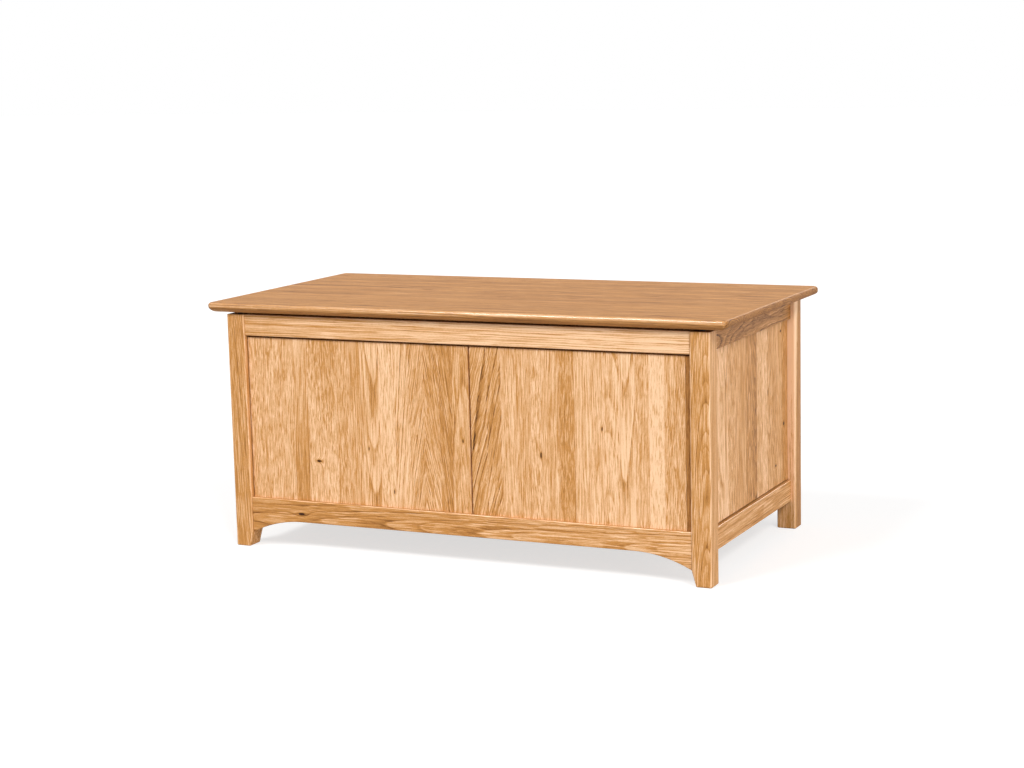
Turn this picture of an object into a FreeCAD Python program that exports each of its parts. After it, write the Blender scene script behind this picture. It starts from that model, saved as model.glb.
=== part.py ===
import FreeCAD, Part
import math
import os

import Sketcher

# A frame-and-panel oak blanket chest with a hinged lid, as a parametric FreeCAD document.
#
# Four square posts carry top and bottom rails on all sides.  Each rail is tenoned into the posts, and the
# glued-up panels stand in grooves in the posts and rails.  The front bottom rail is arched and the front feet
# taper below it.  Inside, cleats on the bottom rails carry a floor of loose boards.  The lid is one
# edge-glued slab with two battens under it.  It hangs on two butt hinges on the rear top rail and is held by
# a two-armed stay at each end.
#
# Frame: millimetres, +X to the chest's right, +Y to its back, +Z up.  The origin lies on the floor, under the
# middle of the whole chest with its lid and hinge knuckles.

SIZES = {
    # the case, over its posts
    "case_width": 1024,
    "case_depth": 546,
    "post_side": 40,
    "post_height": 474,
    "post_edge_radius": 4,
    "foot_height": 30,
    "foot_taper": 8.5,
    "foot_radius": 2.5,
    # the rails
    "rail_thickness": 20,
    "rail_edge_radius": 1.5,
    "rail_edge_chamfer": 1,
    "cross_top_rail_height": 42,
    "side_top_rail_height": 40,
    "bottom_rail_height": 44,
    "bottom_rail_top": 102,
    "arch_run": 115,
    "arch_drop": 28,
    "front_recess": 3,
    "side_recess": 10,
    # the tenons and their mortises
    "tenon_thickness": 8,
    "front_tenon_length": 22,
    "side_tenon_length": 20,
    "tenon_set_in": 9,
    "tenon_shoulder": 5,
    "mortise_slack": 1,
    # the panels, their tongues and their grooves
    "panel_thickness": 14,
    "panel_recess": 6,
    "panel_gap_top": 3,
    "panel_gap_side": 2,
    "panel_gap_bottom": 1,
    "tongue_thickness": 6,
    "tongue_length": 8,
    "groove_slack": 0.2,
    "groove_depth": 9,
    "joint_offset": 21.5,
    "joint_gap": 2.2,
    "joint_tongue": 6,
    "joint_tongue_thickness": 4,
    # the floor and its cleats
    "cleat_side": 20,
    "cleat_base": 64,
    "floor_thickness": 12,
    "floor_gap": 1.5,
    "floor_board_count": 6,
    # the lid
    "lid_length": 1100,
    "lid_depth": 560,
    "lid_thickness": 20,
    "lid_gap": 4,
    "lid_corner_radius": 11,
    "lid_top_radius": 6.5,
    "lid_under_reach": 20,
    "lid_under_height": 13,
    "lid_nose_radius": 9,
    "lid_waste": 2,
    "batten_width": 50,
    "batten_thickness": 18,
    "batten_length": 430,
    "batten_offset": 290,
    "batten_slope": 30,
    "batten_nose": 6,
    "bumper_radius": 5,
    # the hinges
    "hinge_offset": 330,
    "hinge_length": 70,
    "leaf_width": 22,
    "leaf_thickness": 1.8,
    "leaf_clearance": 0.3,
    "knuckle_radius": 3.6,
    "knuckle_gap": 0.2,
    "pin_radius": 1.5,
    "pin_running_gap": 0.05,
    "pin_head_radius": 2.4,
    "pin_head_height": 1.2,
    # the lid stays
    "stay_pivot_forward": 80,
    "stay_pivot_drop": 22,
    "stay_lid_forward": 150,
    "stay_lid_drop": 12,
    "stay_plate_thickness": 2,
    "stay_plate_length": 70,
    "stay_plate_height": 28,
    "stay_plate_corner_radius": 7,
    "stay_hub_radius": 13,
    "stay_hub_length": 8,
    "stay_hub_edge_radius": 1.5,
    "stay_layer_gap": 0.5,
    "arm_radius": 7,
    "rivet_radius": 2.5,
    "rivet_head_radius": 5,
    "rivet_head_height": 1.5,
    "rivet_running_gap": 0.08,
    "elbow_running_gap": 0.2,
    "bracket_width": 18,
    "bracket_length": 44,
    "stay_screw_margin": 7.5,
    # the screws
    "screw_radius": 1.75,
    "screw_head_radius": 3.3,
    "screw_head_height": 1.6,
    "screw_point": 3,
    "screw_tip_radius": 0.3,
    "short_screw_length": 15,
    "long_screw_length": 32,
}

HINGE_KNUCKLES = 5
HINGE_SCREWS = (-25, 0, 25)

# How far apart two lengths may be and still count as one, and the least volume that a feature may change.
LOOSE = 0.01
LEAST_VOLUME = 1e-6

doc = FreeCAD.newDocument("BlanketChest")
sheet = doc.addObject("Spreadsheet::Sheet", "Sizes")
for row, (alias, number) in enumerate(SIZES.items(), start=1):
    sheet.set(f"A{row}", alias)
    sheet.set(f"B{row}", str(number))
    sheet.setAlias(f"B{row}", alias)
doc.recompute()


class Size:
    """A length worked out from the spreadsheet: the expression FreeCAD keeps, and its present value."""

    def __init__(self, text, value):
        self.text = text
        self.value = float(value)

    def combine(self, sign, other, value, flip=False):
        words = other.text if isinstance(other, Size) else str(other)
        pair = (words, self.text) if flip else (self.text, words)
        return Size(f"({pair[0]} {sign} {pair[1]})", value)

    def __add__(self, other):
        return self.combine("+", other, self.value + number_of(other))

    def __radd__(self, other):
        return self.combine("+", other, self.value + number_of(other), flip=True)

    def __sub__(self, other):
        return self.combine("-", other, self.value - number_of(other))

    def __rsub__(self, other):
        return self.combine("-", other, number_of(other) - self.value, flip=True)

    def __mul__(self, other):
        return self.combine("*", other, self.value * number_of(other))

    def __rmul__(self, other):
        return self.combine("*", other, self.value * number_of(other), flip=True)

    def __truediv__(self, other):
        return self.combine("/", other, self.value / number_of(other))

    def __neg__(self):
        return 0 - self


def number_of(size):
    return size.value if isinstance(size, Size) else float(size)


def text_of(size):
    return size.text if isinstance(size, Size) else str(size)


def size(alias):
    """The spreadsheet cell of that name."""
    return Size(f"Sizes.{alias}", getattr(sheet, alias))


# ---- places that several pieces share ----

post = size("post_side")
knuckle_reach = 2 * size("knuckle_radius") + size("knuckle_gap")
lid_overhang = size("lid_depth") - size("case_depth")

RIGHT = size("case_width") / 2
FRONT = lid_overhang - (size("case_depth") + lid_overhang + knuckle_reach) / 2
BACK = FRONT + size("case_depth")
POST_INNER_X = RIGHT - post
FRONT_POST_BACK = FRONT + post
BACK_POST_FRONT = BACK - post
CASE_TOP = size("post_height")
CROSS_TOP_RAIL_BASE = CASE_TOP - size("cross_top_rail_height")
SIDE_TOP_RAIL_BASE = CASE_TOP - size("side_top_rail_height")
BOTTOM_RAIL_TOP = size("bottom_rail_top")
BOTTOM_RAIL_BASE = BOTTOM_RAIL_TOP - size("bottom_rail_height")

FRONT_RAIL_FACE = FRONT + size("front_recess")
FRONT_RAIL_BACK = FRONT_RAIL_FACE + size("rail_thickness")
SIDE_RAIL_FACE = RIGHT - size("side_recess")
SIDE_RAIL_INNER = SIDE_RAIL_FACE - size("rail_thickness")
BACK_RAIL_FACE = BACK
BACK_RAIL_FRONT = BACK - size("rail_thickness")

LID_BASE = CASE_TOP + size("lid_gap")
HINGE_Y = BACK + size("knuckle_gap") + size("knuckle_radius")
HINGE_Z = CASE_TOP + size("lid_gap") / 2

STAY_PIVOT_Y = HINGE_Y - size("stay_pivot_forward")
STAY_PIVOT_Z = HINGE_Z - size("stay_pivot_drop")
STAY_LID_Y = HINGE_Y - size("stay_lid_forward")
STAY_LID_Z = HINGE_Z - size("stay_lid_drop")
STAY_ELBOW_Y = STAY_PIVOT_Y - size("stay_lid_forward")
STAY_ELBOW_Z = STAY_PIVOT_Z - size("stay_lid_drop")

subparts = {}


# ---- helpers ----


def bind(thing, path, length):
    thing.setExpression(path, text_of(length))


def keep(thing, label):
    """Names a finished sub-part, so that it is checked and written at the end."""
    thing.Label = label
    subparts[label] = thing
    return thing


def new_body(label):
    return keep(doc.addObject("PartDesign::Body", label + "_body"), label)


def sketch_on(body, role, distance):
    """A sketch parallel to one of the body's own origin planes, at a distance along that plane's normal."""
    plane = next(f for f in body.Origin.OriginFeatures if f.Role == role)
    sketch = body.newObject("Sketcher::SketchObject", "Sketch")
    sketch.AttachmentSupport = [(plane, "")]
    sketch.MapMode = "FlatFace"
    bind(sketch, "AttachmentOffset.Base.z", distance)
    return sketch


def pin(sketch, curve, vertex, x, y):
    """Fixes a curve's end or centre at a place given by two sizes."""
    for kind, length in (("DistanceX", x), ("DistanceY", y)):
        index = sketch.addConstraint(
            Sketcher.Constraint(kind, -1, 1, curve, vertex, number_of(length))
        )
        bind(sketch, f"Constraints[{index}]", length)


def draw_outline(sketch, corners, arcs=None):
    """A closed outline through the corners.  arcs maps a corner's index to (centre x, centre y, radius) of
    the arc that leaves it for the next corner; every other stretch is straight."""
    arcs = arcs or {}
    points = [FreeCAD.Vector(number_of(x), number_of(y), 0) for x, y in corners]
    ends = []
    for i, start in enumerate(points):
        stop = points[(i + 1) % len(points)]
        if i not in arcs:
            curve = sketch.addGeometry(Part.LineSegment(start, stop))
            ends.append((curve, 1, 2))
            continue
        centre_x, centre_y, radius = arcs[i]
        centre = FreeCAD.Vector(number_of(centre_x), number_of(centre_y), 0)
        angles = [math.atan2(p.y - centre.y, p.x - centre.x) for p in (start, stop)]
        turns_left = (angles[1] - angles[0]) % (2 * math.pi) < math.pi
        circle = Part.Circle(centre, FreeCAD.Vector(0, 0, 1), number_of(radius))
        if turns_left:
            curve = sketch.addGeometry(Part.ArcOfCircle(circle, angles[0], angles[1]))
            ends.append((curve, 1, 2))
        else:
            curve = sketch.addGeometry(Part.ArcOfCircle(circle, angles[1], angles[0]))
            ends.append((curve, 2, 1))
    for i, (curve, first, last) in enumerate(ends):
        following, start, _ = ends[(i + 1) % len(ends)]
        sketch.addConstraint(
            Sketcher.Constraint("Coincident", curve, last, following, start)
        )
        pin(sketch, curve, first, *corners[i])
    for i, (_, _, radius) in arcs.items():
        index = sketch.addConstraint(
            Sketcher.Constraint("Radius", ends[i][0], number_of(radius))
        )
        bind(sketch, f"Constraints[{index}]", radius)


def draw_box(sketch, x0, x1, y0, y1):
    draw_outline(sketch, [(x0, y0), (x1, y0), (x1, y1), (x0, y1)])


def draw_circle(sketch, x, y, radius):
    centre = FreeCAD.Vector(number_of(x), number_of(y), 0)
    circle = Part.Circle(centre, FreeCAD.Vector(0, 0, 1), number_of(radius))
    curve = sketch.addGeometry(circle)
    pin(sketch, curve, 3, x, y)
    index = sketch.addConstraint(
        Sketcher.Constraint("Radius", curve, number_of(radius))
    )
    bind(sketch, f"Constraints[{index}]", radius)


# How a span along each axis sits on the origin plane that faces it: the plane's role, and whether its normal
# points down the axis.
PLANES = {"x": ("YZ_Plane", False), "y": ("XZ_Plane", True), "z": ("XY_Plane", False)}


def extrude(body, kind, axis, low, high, draw):
    """Pads or pockets what draw() draws, over the span from low to high along an axis."""
    role, points_down = PLANES[axis]
    starts_high = points_down == (kind == "Pad")
    place = high if starts_high else low
    sketch = sketch_on(body, role, -place if points_down else place)
    draw(sketch)
    before = body.Shape.Volume if body.Tip else 0.0
    feature = body.newObject(f"PartDesign::{kind}", kind)
    feature.Profile = sketch
    bind(feature, "Length", high - low)
    doc.recompute()
    grew = body.Shape.Volume - before
    if (grew > 0) != (kind == "Pad") or abs(grew) < LEAST_VOLUME:
        raise RuntimeError(
            f"{body.Label}: {kind} {feature.Name} changed the volume by {grew}"
        )
    return feature


def add(body, axis, low, high, draw):
    return extrude(body, "Pad", axis, low, high, draw)


def cut(body, axis, low, high, draw):
    return extrude(body, "Pocket", axis, low, high, draw)


def add_block(body, x, y, z):
    """Adds a block that spans three (low, high) pairs."""
    return add(body, "z", *z, lambda sketch: draw_box(sketch, *x, *y))


def cut_block(body, x, y, z):
    return cut(body, "z", *z, lambda sketch: draw_box(sketch, *x, *y))


def round_edges(body, radius, chosen, kind="Fillet"):
    """Fillets or chamfers the edges of the last feature that chosen() picks by their ends and middle."""
    doc.recompute()
    names = []
    for i, edge in enumerate(body.Shape.Edges, start=1):
        first, last = edge.firstVertex().Point, edge.lastVertex().Point
        middle = edge.valueAt((edge.FirstParameter + edge.LastParameter) / 2)
        if chosen(first, last, middle):
            names.append(f"Edge{i}")
    if not names:
        raise RuntimeError(f"{body.Label}: no edge to round")
    tip = body.Tip
    feature = body.newObject(f"PartDesign::{kind}", kind)
    feature.Base = (tip, names)
    bind(feature, "Radius" if kind == "Fillet" else "Size", radius)
    doc.recompute()
    return feature


def near(value, length):
    return abs(value - number_of(length)) < LOOSE


def runs_along(first, last, axis):
    """Whether an edge's ends differ along that axis alone."""
    return all(near(getattr(first, a), getattr(last, a)) for a in "xyz" if a != axis)


def mirrored(label, source):
    """The same piece on the other side of the chest's middle plane."""
    twin = doc.addObject("Part::Mirroring", label + "_mirror")
    twin.Source = source
    twin.Normal = (1, 0, 0)
    twin.Base = (0, 0, 0)
    return keep(twin, label)


def drilled(label, source, *tools):
    """The piece with the holes that its screws or rivets fill."""
    source.Label = label + "_undrilled"
    for tool in tools:
        cut_feature = doc.addObject("Part::Cut", label + "_drilled")
        cut_feature.Base = source
        cut_feature.Tool = tool
        source = cut_feature
    return keep(source, label)


def make_screw(name, length):
    """A countersunk wood screw that the groups copy.  The face of its head lies at the origin, point up."""
    body = doc.addObject("PartDesign::Body", name)
    sketch = sketch_on(body, "XZ_Plane", 0)
    shank, point = size("screw_radius"), length - size("screw_point")
    half = [
        (0, 0),
        (size("screw_head_radius"), 0),
        (shank, size("screw_head_height")),
        (shank, point),
        (size("screw_tip_radius"), length),
        (0, length),
    ]
    draw_outline(sketch, half)
    turned = body.newObject("PartDesign::Revolution", "Revolution")
    turned.Profile = sketch
    turned.ReferenceAxis = (sketch, ["V_Axis"])
    turned.Angle = 360
    doc.recompute()
    return body


SHORT_SCREW = make_screw("short_screw", size("short_screw_length"))
LONG_SCREW = make_screw("long_screw", size("long_screw_length"))


def screw_group(label, screw, places):
    """Copies of one screw as one sub-part.  A place is the middle of a head's face, and the way it points."""
    copies = []
    for place, way in places:
        copy = doc.addObject("App::Link", label + "_copy")
        copy.LinkedObject = screw
        turn = FreeCAD.Rotation(FreeCAD.Vector(0, 0, 1), FreeCAD.Vector(*way))
        copy.Placement = FreeCAD.Placement(FreeCAD.Vector(), turn)
        for axis, length in zip("xyz", place):
            bind(copy, f"Placement.Base.{axis}", length)
        copies.append(copy)
    group = doc.addObject("Part::Compound", label + "_group")
    group.Links = copies
    doc.recompute()
    return keep(group, label)


def cylinder(name, radius, axis, start, stop, middle):
    """A Part cylinder along an axis, from start to stop, about the middle given on the other two axes."""
    rod = doc.addObject("Part::Cylinder", name)
    bind(rod, "Radius", radius)
    bind(rod, "Height", stop - start)
    turns = {"x": (0, 90, 0), "y": (0, 0, -90), "z": (0, 0, 0)}
    rod.Placement = FreeCAD.Placement(
        FreeCAD.Vector(), FreeCAD.Rotation(*turns[axis])
    )
    others = iter(middle)
    for a in "xyz":
        bind(rod, f"Placement.Base.{a}", start if a == axis else next(others))
    return rod


def fused(label, pieces):
    whole = doc.addObject("Part::MultiFuse", label + "_fuse")
    whole.Shapes = pieces
    whole.Refine = True
    return keep(whole, label)


def around(middle, width):
    """The (low, high) pair of a width about a middle."""
    return middle - width / 2, middle + width / 2


# ---- posts ----

FRONT_TENON_Y = around(
    (FRONT_RAIL_FACE + FRONT_RAIL_BACK) / 2, size("tenon_thickness")
)
BACK_TENON_Y = around((BACK_RAIL_FACE + BACK_RAIL_FRONT) / 2, size("tenon_thickness"))
SIDE_TENON_X = around((SIDE_RAIL_FACE + SIDE_RAIL_INNER) / 2, size("tenon_thickness"))
TOP_TENON_Z = (
    SIDE_TOP_RAIL_BASE + size("tenon_set_in"),
    CASE_TOP - size("tenon_shoulder"),
)
BOTTOM_TENON_Z = (
    BOTTOM_RAIL_BASE + size("tenon_shoulder"),
    BOTTOM_RAIL_TOP - size("tenon_set_in"),
)
ARCH_END_Z = BOTTOM_RAIL_BASE - size("arch_drop")
ARCHED_TENON_Z = (
    ARCH_END_Z + size("tenon_shoulder"),
    BOTTOM_RAIL_TOP - size("tenon_set_in"),
)

FRONT_PANEL_FACE = FRONT_RAIL_FACE + size("panel_recess")
BACK_PANEL_FACE = BACK_RAIL_FACE - size("panel_recess")
SIDE_PANEL_FACE = SIDE_RAIL_FACE - size("panel_recess")
FRONT_TONGUE_MIDDLE = FRONT_PANEL_FACE + size("panel_thickness") / 2
BACK_TONGUE_MIDDLE = BACK_PANEL_FACE - size("panel_thickness") / 2
SIDE_TONGUE_MIDDLE = SIDE_PANEL_FACE - size("panel_thickness") / 2
GROOVE_WIDTH = size("tongue_thickness") + 2 * size("groove_slack")
GROOVE_Z = (
    BOTTOM_RAIL_TOP - size("groove_depth"),
    SIDE_TOP_RAIL_BASE + size("groove_depth"),
)


def cut_post_joints(body, toward_middle_y, inner_y, cross_tenon_y, tongue_y, low_tenon_z):
    """Mortises and panel grooves of a right-hand post.  toward_middle_y is +1 on a front post and -1 on a
    back one, and inner_y is its face towards the middle of the chest."""
    cross_depth = size("front_tenon_length") + size("mortise_slack")
    side_depth = size("side_tenon_length") + size("mortise_slack")
    cross_x = (POST_INNER_X, POST_INNER_X + cross_depth)
    cross_groove_x = (POST_INNER_X, POST_INNER_X + size("groove_depth"))
    if toward_middle_y > 0:
        side_y = (inner_y - side_depth, inner_y)
        side_groove_y = (inner_y - size("groove_depth"), inner_y)
    else:
        side_y = (inner_y, inner_y + side_depth)
        side_groove_y = (inner_y, inner_y + size("groove_depth"))
    for tenon_z in (TOP_TENON_Z, low_tenon_z):
        cut_block(body, cross_x, cross_tenon_y, tenon_z)
    for tenon_z in (TOP_TENON_Z, BOTTOM_TENON_Z):
        cut_block(body, SIDE_TENON_X, side_y, tenon_z)
    cut_block(body, cross_groove_x, around(tongue_y, GROOVE_WIDTH), GROOVE_Z)
    cut_block(body, around(SIDE_TONGUE_MIDDLE, GROOVE_WIDTH), side_groove_y, GROOVE_Z)


def ease_post(body):
    """Rounds a post's long edges, and the edges of its foot."""
    round_edges(
        body,
        size("post_edge_radius"),
        lambda first, last, middle: not near(first.z, last.z),
    )
    round_edges(
        body,
        size("foot_radius"),
        lambda first, last, middle: near(first.z, 0) and near(last.z, 0),
    )


def make_front_post():
    """The right front post, whose foot tapers on the side that faces the arch."""
    body = new_body("front_right_post")
    elevation = [
        (POST_INNER_X + size("foot_taper"), 0),
        (RIGHT, 0),
        (RIGHT, CASE_TOP),
        (POST_INNER_X, CASE_TOP),
        (POST_INNER_X, size("foot_height")),
    ]
    add(body, "y", FRONT, FRONT_POST_BACK, lambda s: draw_outline(s, elevation))
    ease_post(body)
    cut_post_joints(
        body, 1, FRONT_POST_BACK, FRONT_TENON_Y, FRONT_TONGUE_MIDDLE, ARCHED_TENON_Z
    )
    mirrored("front_left_post", body)


def make_back_post():
    body = new_body("rear_right_post")
    add_block(body, (POST_INNER_X, RIGHT), (BACK_POST_FRONT, BACK), (0, CASE_TOP))
    ease_post(body)
    cut_post_joints(
        body, -1, BACK_POST_FRONT, BACK_TENON_Y, BACK_TONGUE_MIDDLE, BOTTOM_TENON_Z
    )
    mirrored("rear_left_post", body)


# ---- rails ----


def ease_rail(body, axis, at_height=lambda z: True):
    """Rounds the long edges of a rail, or those at one height."""
    round_edges(
        body,
        size("rail_edge_radius"),
        lambda first, last, middle: runs_along(first, last, axis) and at_height(middle.z),
    )


def cut_panel_groove(body, x, y, z_edge, opens_up):
    """The groove in a rail's edge that holds the panels' tongues."""
    depth = size("groove_depth")
    span = (z_edge - depth, z_edge) if opens_up else (z_edge, z_edge + depth)
    cut_block(body, x, y, span)


def make_cross_rail(label, face_y, back_y, z, tenon_y, tenon_z, tongue_y, groove_up):
    """A straight rail across the front or the back, tenoned at both ends."""
    body = new_body(label)
    add_block(body, (-POST_INNER_X, POST_INNER_X), (face_y, back_y), z)
    ease_rail(body, "x")
    reach = POST_INNER_X + size("front_tenon_length")
    add_block(body, (-reach, reach), tenon_y, tenon_z)
    groove_y = around(tongue_y, GROOVE_WIDTH)
    edge = z[1] if groove_up else z[0]
    cut_panel_groove(body, (-POST_INNER_X, POST_INNER_X), groove_y, edge, groove_up)
    return body


def make_arched_rail():
    """The front bottom rail: two arcs, each tangent to the straight middle of its lower edge."""
    body = new_body("front_bottom_rail")
    run, drop = size("arch_run"), size("arch_drop")
    radius = (run * run + drop * drop) / (2 * drop)
    flat_end = POST_INNER_X - run
    centre_z = BOTTOM_RAIL_BASE - radius
    corners = [
        (-POST_INNER_X, ARCH_END_Z),
        (-flat_end, BOTTOM_RAIL_BASE),
        (flat_end, BOTTOM_RAIL_BASE),
        (POST_INNER_X, ARCH_END_Z),
        (POST_INNER_X, BOTTOM_RAIL_TOP),
        (-POST_INNER_X, BOTTOM_RAIL_TOP),
    ]
    arcs = {0: (-flat_end, centre_z, radius), 2: (flat_end, centre_z, radius)}
    y = (FRONT_RAIL_FACE, FRONT_RAIL_BACK)
    add(body, "y", *y, lambda s: draw_outline(s, corners, arcs))
    ease_rail(body, "x", lambda edge_z: near(edge_z, BOTTOM_RAIL_TOP))
    round_edges(
        body,
        size("rail_edge_chamfer"),
        lambda first, last, middle: not near(first.x, last.x)
        and middle.z < number_of(BOTTOM_RAIL_BASE) + LOOSE,
        kind="Chamfer",
    )
    reach = POST_INNER_X + size("front_tenon_length")
    for way in (-1, 1):
        tenon = sorted((way * POST_INNER_X, way * reach), key=number_of)
        add_block(body, tenon, FRONT_TENON_Y, ARCHED_TENON_Z)
    groove_y = around(FRONT_TONGUE_MIDDLE, GROOVE_WIDTH)
    cut_panel_groove(
        body, (-POST_INNER_X, POST_INNER_X), groove_y, BOTTOM_RAIL_TOP, True
    )
    return body


def make_side_rail(label, z, tenon_z, groove_up):
    body = new_body(label)
    add_block(
        body, (SIDE_RAIL_INNER, SIDE_RAIL_FACE), (FRONT_POST_BACK, BACK_POST_FRONT), z
    )
    ease_rail(body, "y")
    reach = size("side_tenon_length")
    add_block(
        body, SIDE_TENON_X, (FRONT_POST_BACK - reach, BACK_POST_FRONT + reach), tenon_z
    )
    groove_x = around(SIDE_TONGUE_MIDDLE, GROOVE_WIDTH)
    edge = z[1] if groove_up else z[0]
    cut_panel_groove(
        body, groove_x, (FRONT_POST_BACK, BACK_POST_FRONT), edge, groove_up
    )
    return body


# ---- panels ----


def panel_heights(top_rail_base):
    """The (low, high) pairs of a panel's field and of its tongue."""
    field = (BOTTOM_RAIL_TOP + size("panel_gap_bottom"), top_rail_base - size("panel_gap_top"))
    tongue = (BOTTOM_RAIL_TOP - size("tongue_length"), top_rail_base + size("tongue_length"))
    return field, tongue


def make_cross_panels(prefix, face_y, away):
    """The two panels across the front or the back.  They meet off the middle in a loose tongue and groove,
    with an open joint in the face.  away is +1 where the panel's thickness runs towards +Y."""
    thickness = size("panel_thickness")
    y = (face_y, face_y + thickness) if away > 0 else (face_y - thickness, face_y)
    middle = (y[0] + y[1]) / 2
    tongue_y = around(middle, size("tongue_thickness"))
    joint = size("joint_offset")
    half_gap = size("joint_gap") / 2
    outer = POST_INNER_X - size("panel_gap_side")
    reach = POST_INNER_X + size("tongue_length")
    field_z, tongue_z = panel_heights(CROSS_TOP_RAIL_BASE)

    left = new_body(prefix + "_left_panel")
    add_block(left, (-outer, joint - half_gap), y, field_z)
    add_block(left, (-reach, joint - half_gap), tongue_y, tongue_z)
    slot_y = around(middle, size("joint_tongue_thickness") + 2 * size("groove_slack"))
    slot_x = (joint - half_gap - size("joint_tongue"), joint - half_gap)
    cut_block(left, slot_x, slot_y, tongue_z)

    right = new_body(prefix + "_right_panel")
    add_block(right, (joint + half_gap, outer), y, field_z)
    add_block(right, (joint + half_gap, reach), tongue_y, tongue_z)
    joint_tongue_x = (joint + half_gap - size("joint_tongue"), joint + half_gap)
    add_block(
        right, joint_tongue_x, around(middle, size("joint_tongue_thickness")), tongue_z
    )


def make_side_panel():
    body = new_body("right_side_panel")
    gap, tongue = size("panel_gap_side"), size("tongue_length")
    field_z, tongue_z = panel_heights(SIDE_TOP_RAIL_BASE)
    x = (SIDE_PANEL_FACE - size("panel_thickness"), SIDE_PANEL_FACE)
    add_block(body, x, (FRONT_POST_BACK + gap, BACK_POST_FRONT - gap), field_z)
    add_block(
        body,
        around(SIDE_TONGUE_MIDDLE, size("tongue_thickness")),
        (FRONT_POST_BACK - tongue, BACK_POST_FRONT + tongue),
        tongue_z,
    )
    mirrored("left_side_panel", body)


# ---- floor ----

CLEAT_Z = (size("cleat_base"), size("cleat_base") + size("cleat_side"))
FLOOR_Z = (CLEAT_Z[1], CLEAT_Z[1] + size("floor_thickness"))
CLEAT_SCREW_Z = (CLEAT_Z[0] + CLEAT_Z[1]) / 2
LONG_CLEAT_SCREWS = (-380, 0, 380)
SHORT_CLEAT_SCREWS = (-150, 150)


def make_floor_cleats():
    """Cleats inside the bottom rails, and the screws that hold them."""
    side, gap = size("cleat_side"), size("floor_gap")
    long_x = (gap - POST_INNER_X, POST_INNER_X - gap)
    front_y = (FRONT_RAIL_BACK, FRONT_RAIL_BACK + side)
    back_y = (BACK_RAIL_FRONT - side, BACK_RAIL_FRONT)
    short_y = (front_y[1] + gap, back_y[0] - gap)
    short_x = (SIDE_RAIL_INNER - side, SIDE_RAIL_INNER)
    middle_y = (short_y[0] + short_y[1]) / 2

    places = []
    for x in LONG_CLEAT_SCREWS:
        places.append(((x, front_y[1], CLEAT_SCREW_Z), (0, -1, 0)))
        places.append(((x, back_y[0], CLEAT_SCREW_Z), (0, 1, 0)))
    for y in SHORT_CLEAT_SCREWS:
        for way in (-1, 1):
            place = (way * short_x[0], middle_y + y, CLEAT_SCREW_Z)
            places.append((place, (way, 0, 0)))
    group = screw_group("floor_cleat_screws", LONG_SCREW, places)

    spans = {
        "front_floor_cleat": (long_x, front_y),
        "rear_floor_cleat": (long_x, back_y),
        "right_floor_cleat": (short_x, short_y),
        "left_floor_cleat": ((-short_x[1], -short_x[0]), short_y),
    }
    for label, (x, y) in spans.items():
        body = new_body(label)
        add_block(body, x, y, CLEAT_Z)
        drilled(label, body, group)
    return group


def make_floor_boards():
    """Loose boards from front to back, equal in width, the end ones notched round the posts."""
    count = int(sheet.floor_board_count)
    gap = size("floor_gap")
    left_edge = gap - SIDE_RAIL_INNER
    pitch = (2 * SIDE_RAIL_INNER - gap) / size("floor_board_count")
    y = (FRONT_RAIL_BACK + gap, BACK_RAIL_FRONT - gap)
    for i in range(count):
        body = new_body(f"floor_board_{i + 1}")
        x = (left_edge + i * pitch, left_edge + (i + 1) * pitch - gap)
        add_block(body, x, y, FLOOR_Z)
        if i in (0, count - 1):
            if i == 0:
                notch_x = (x[0] - gap, gap - POST_INNER_X)
            else:
                notch_x = (POST_INNER_X - gap, x[1] + gap)
            cut_block(body, notch_x, (y[0] - gap, FRONT_POST_BACK + gap), FLOOR_Z)
            cut_block(body, notch_x, (BACK_POST_FRONT - gap, y[1] + gap), FLOOR_Z)


# ---- lid ----

LID_TOP = LID_BASE + size("lid_thickness")
LID_FRONT = BACK - size("lid_depth")
LID_RIGHT = size("lid_length") / 2
BATTEN_SCREWS = (-160, -55, 55, 160)


def draw_under_waste(sketch, edge, way):
    """What is cut away under an edge of the slab, seen along that edge: two tangent arcs sweep from the nose
    down to the flat underside.  way is +1 where the slab lies on the greater side of the edge."""
    reach, height, nose = size("lid_under_reach"), size("lid_under_height"), size("lid_nose_radius")
    waste = size("lid_waste")
    sweep = ((reach - nose) * (reach - nose) + height * height - nose * nose) / (2 * (height - nose))
    share = nose / (sweep - nose)
    meeting = (edge + way * (nose + (nose - reach) * share), LID_BASE + height + (height - sweep) * share)
    corners = [
        (edge, LID_BASE + height),
        meeting,
        (edge + way * reach, LID_BASE),
        (edge + way * reach, LID_BASE - waste),
        (edge - way * waste, LID_BASE - waste),
        (edge - way * waste, LID_BASE + height),
    ]
    arcs = {
        0: (edge + way * nose, LID_BASE + height, nose),
        1: (edge + way * reach, LID_BASE + sweep, sweep),
    }
    draw_outline(sketch, corners, arcs)


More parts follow.
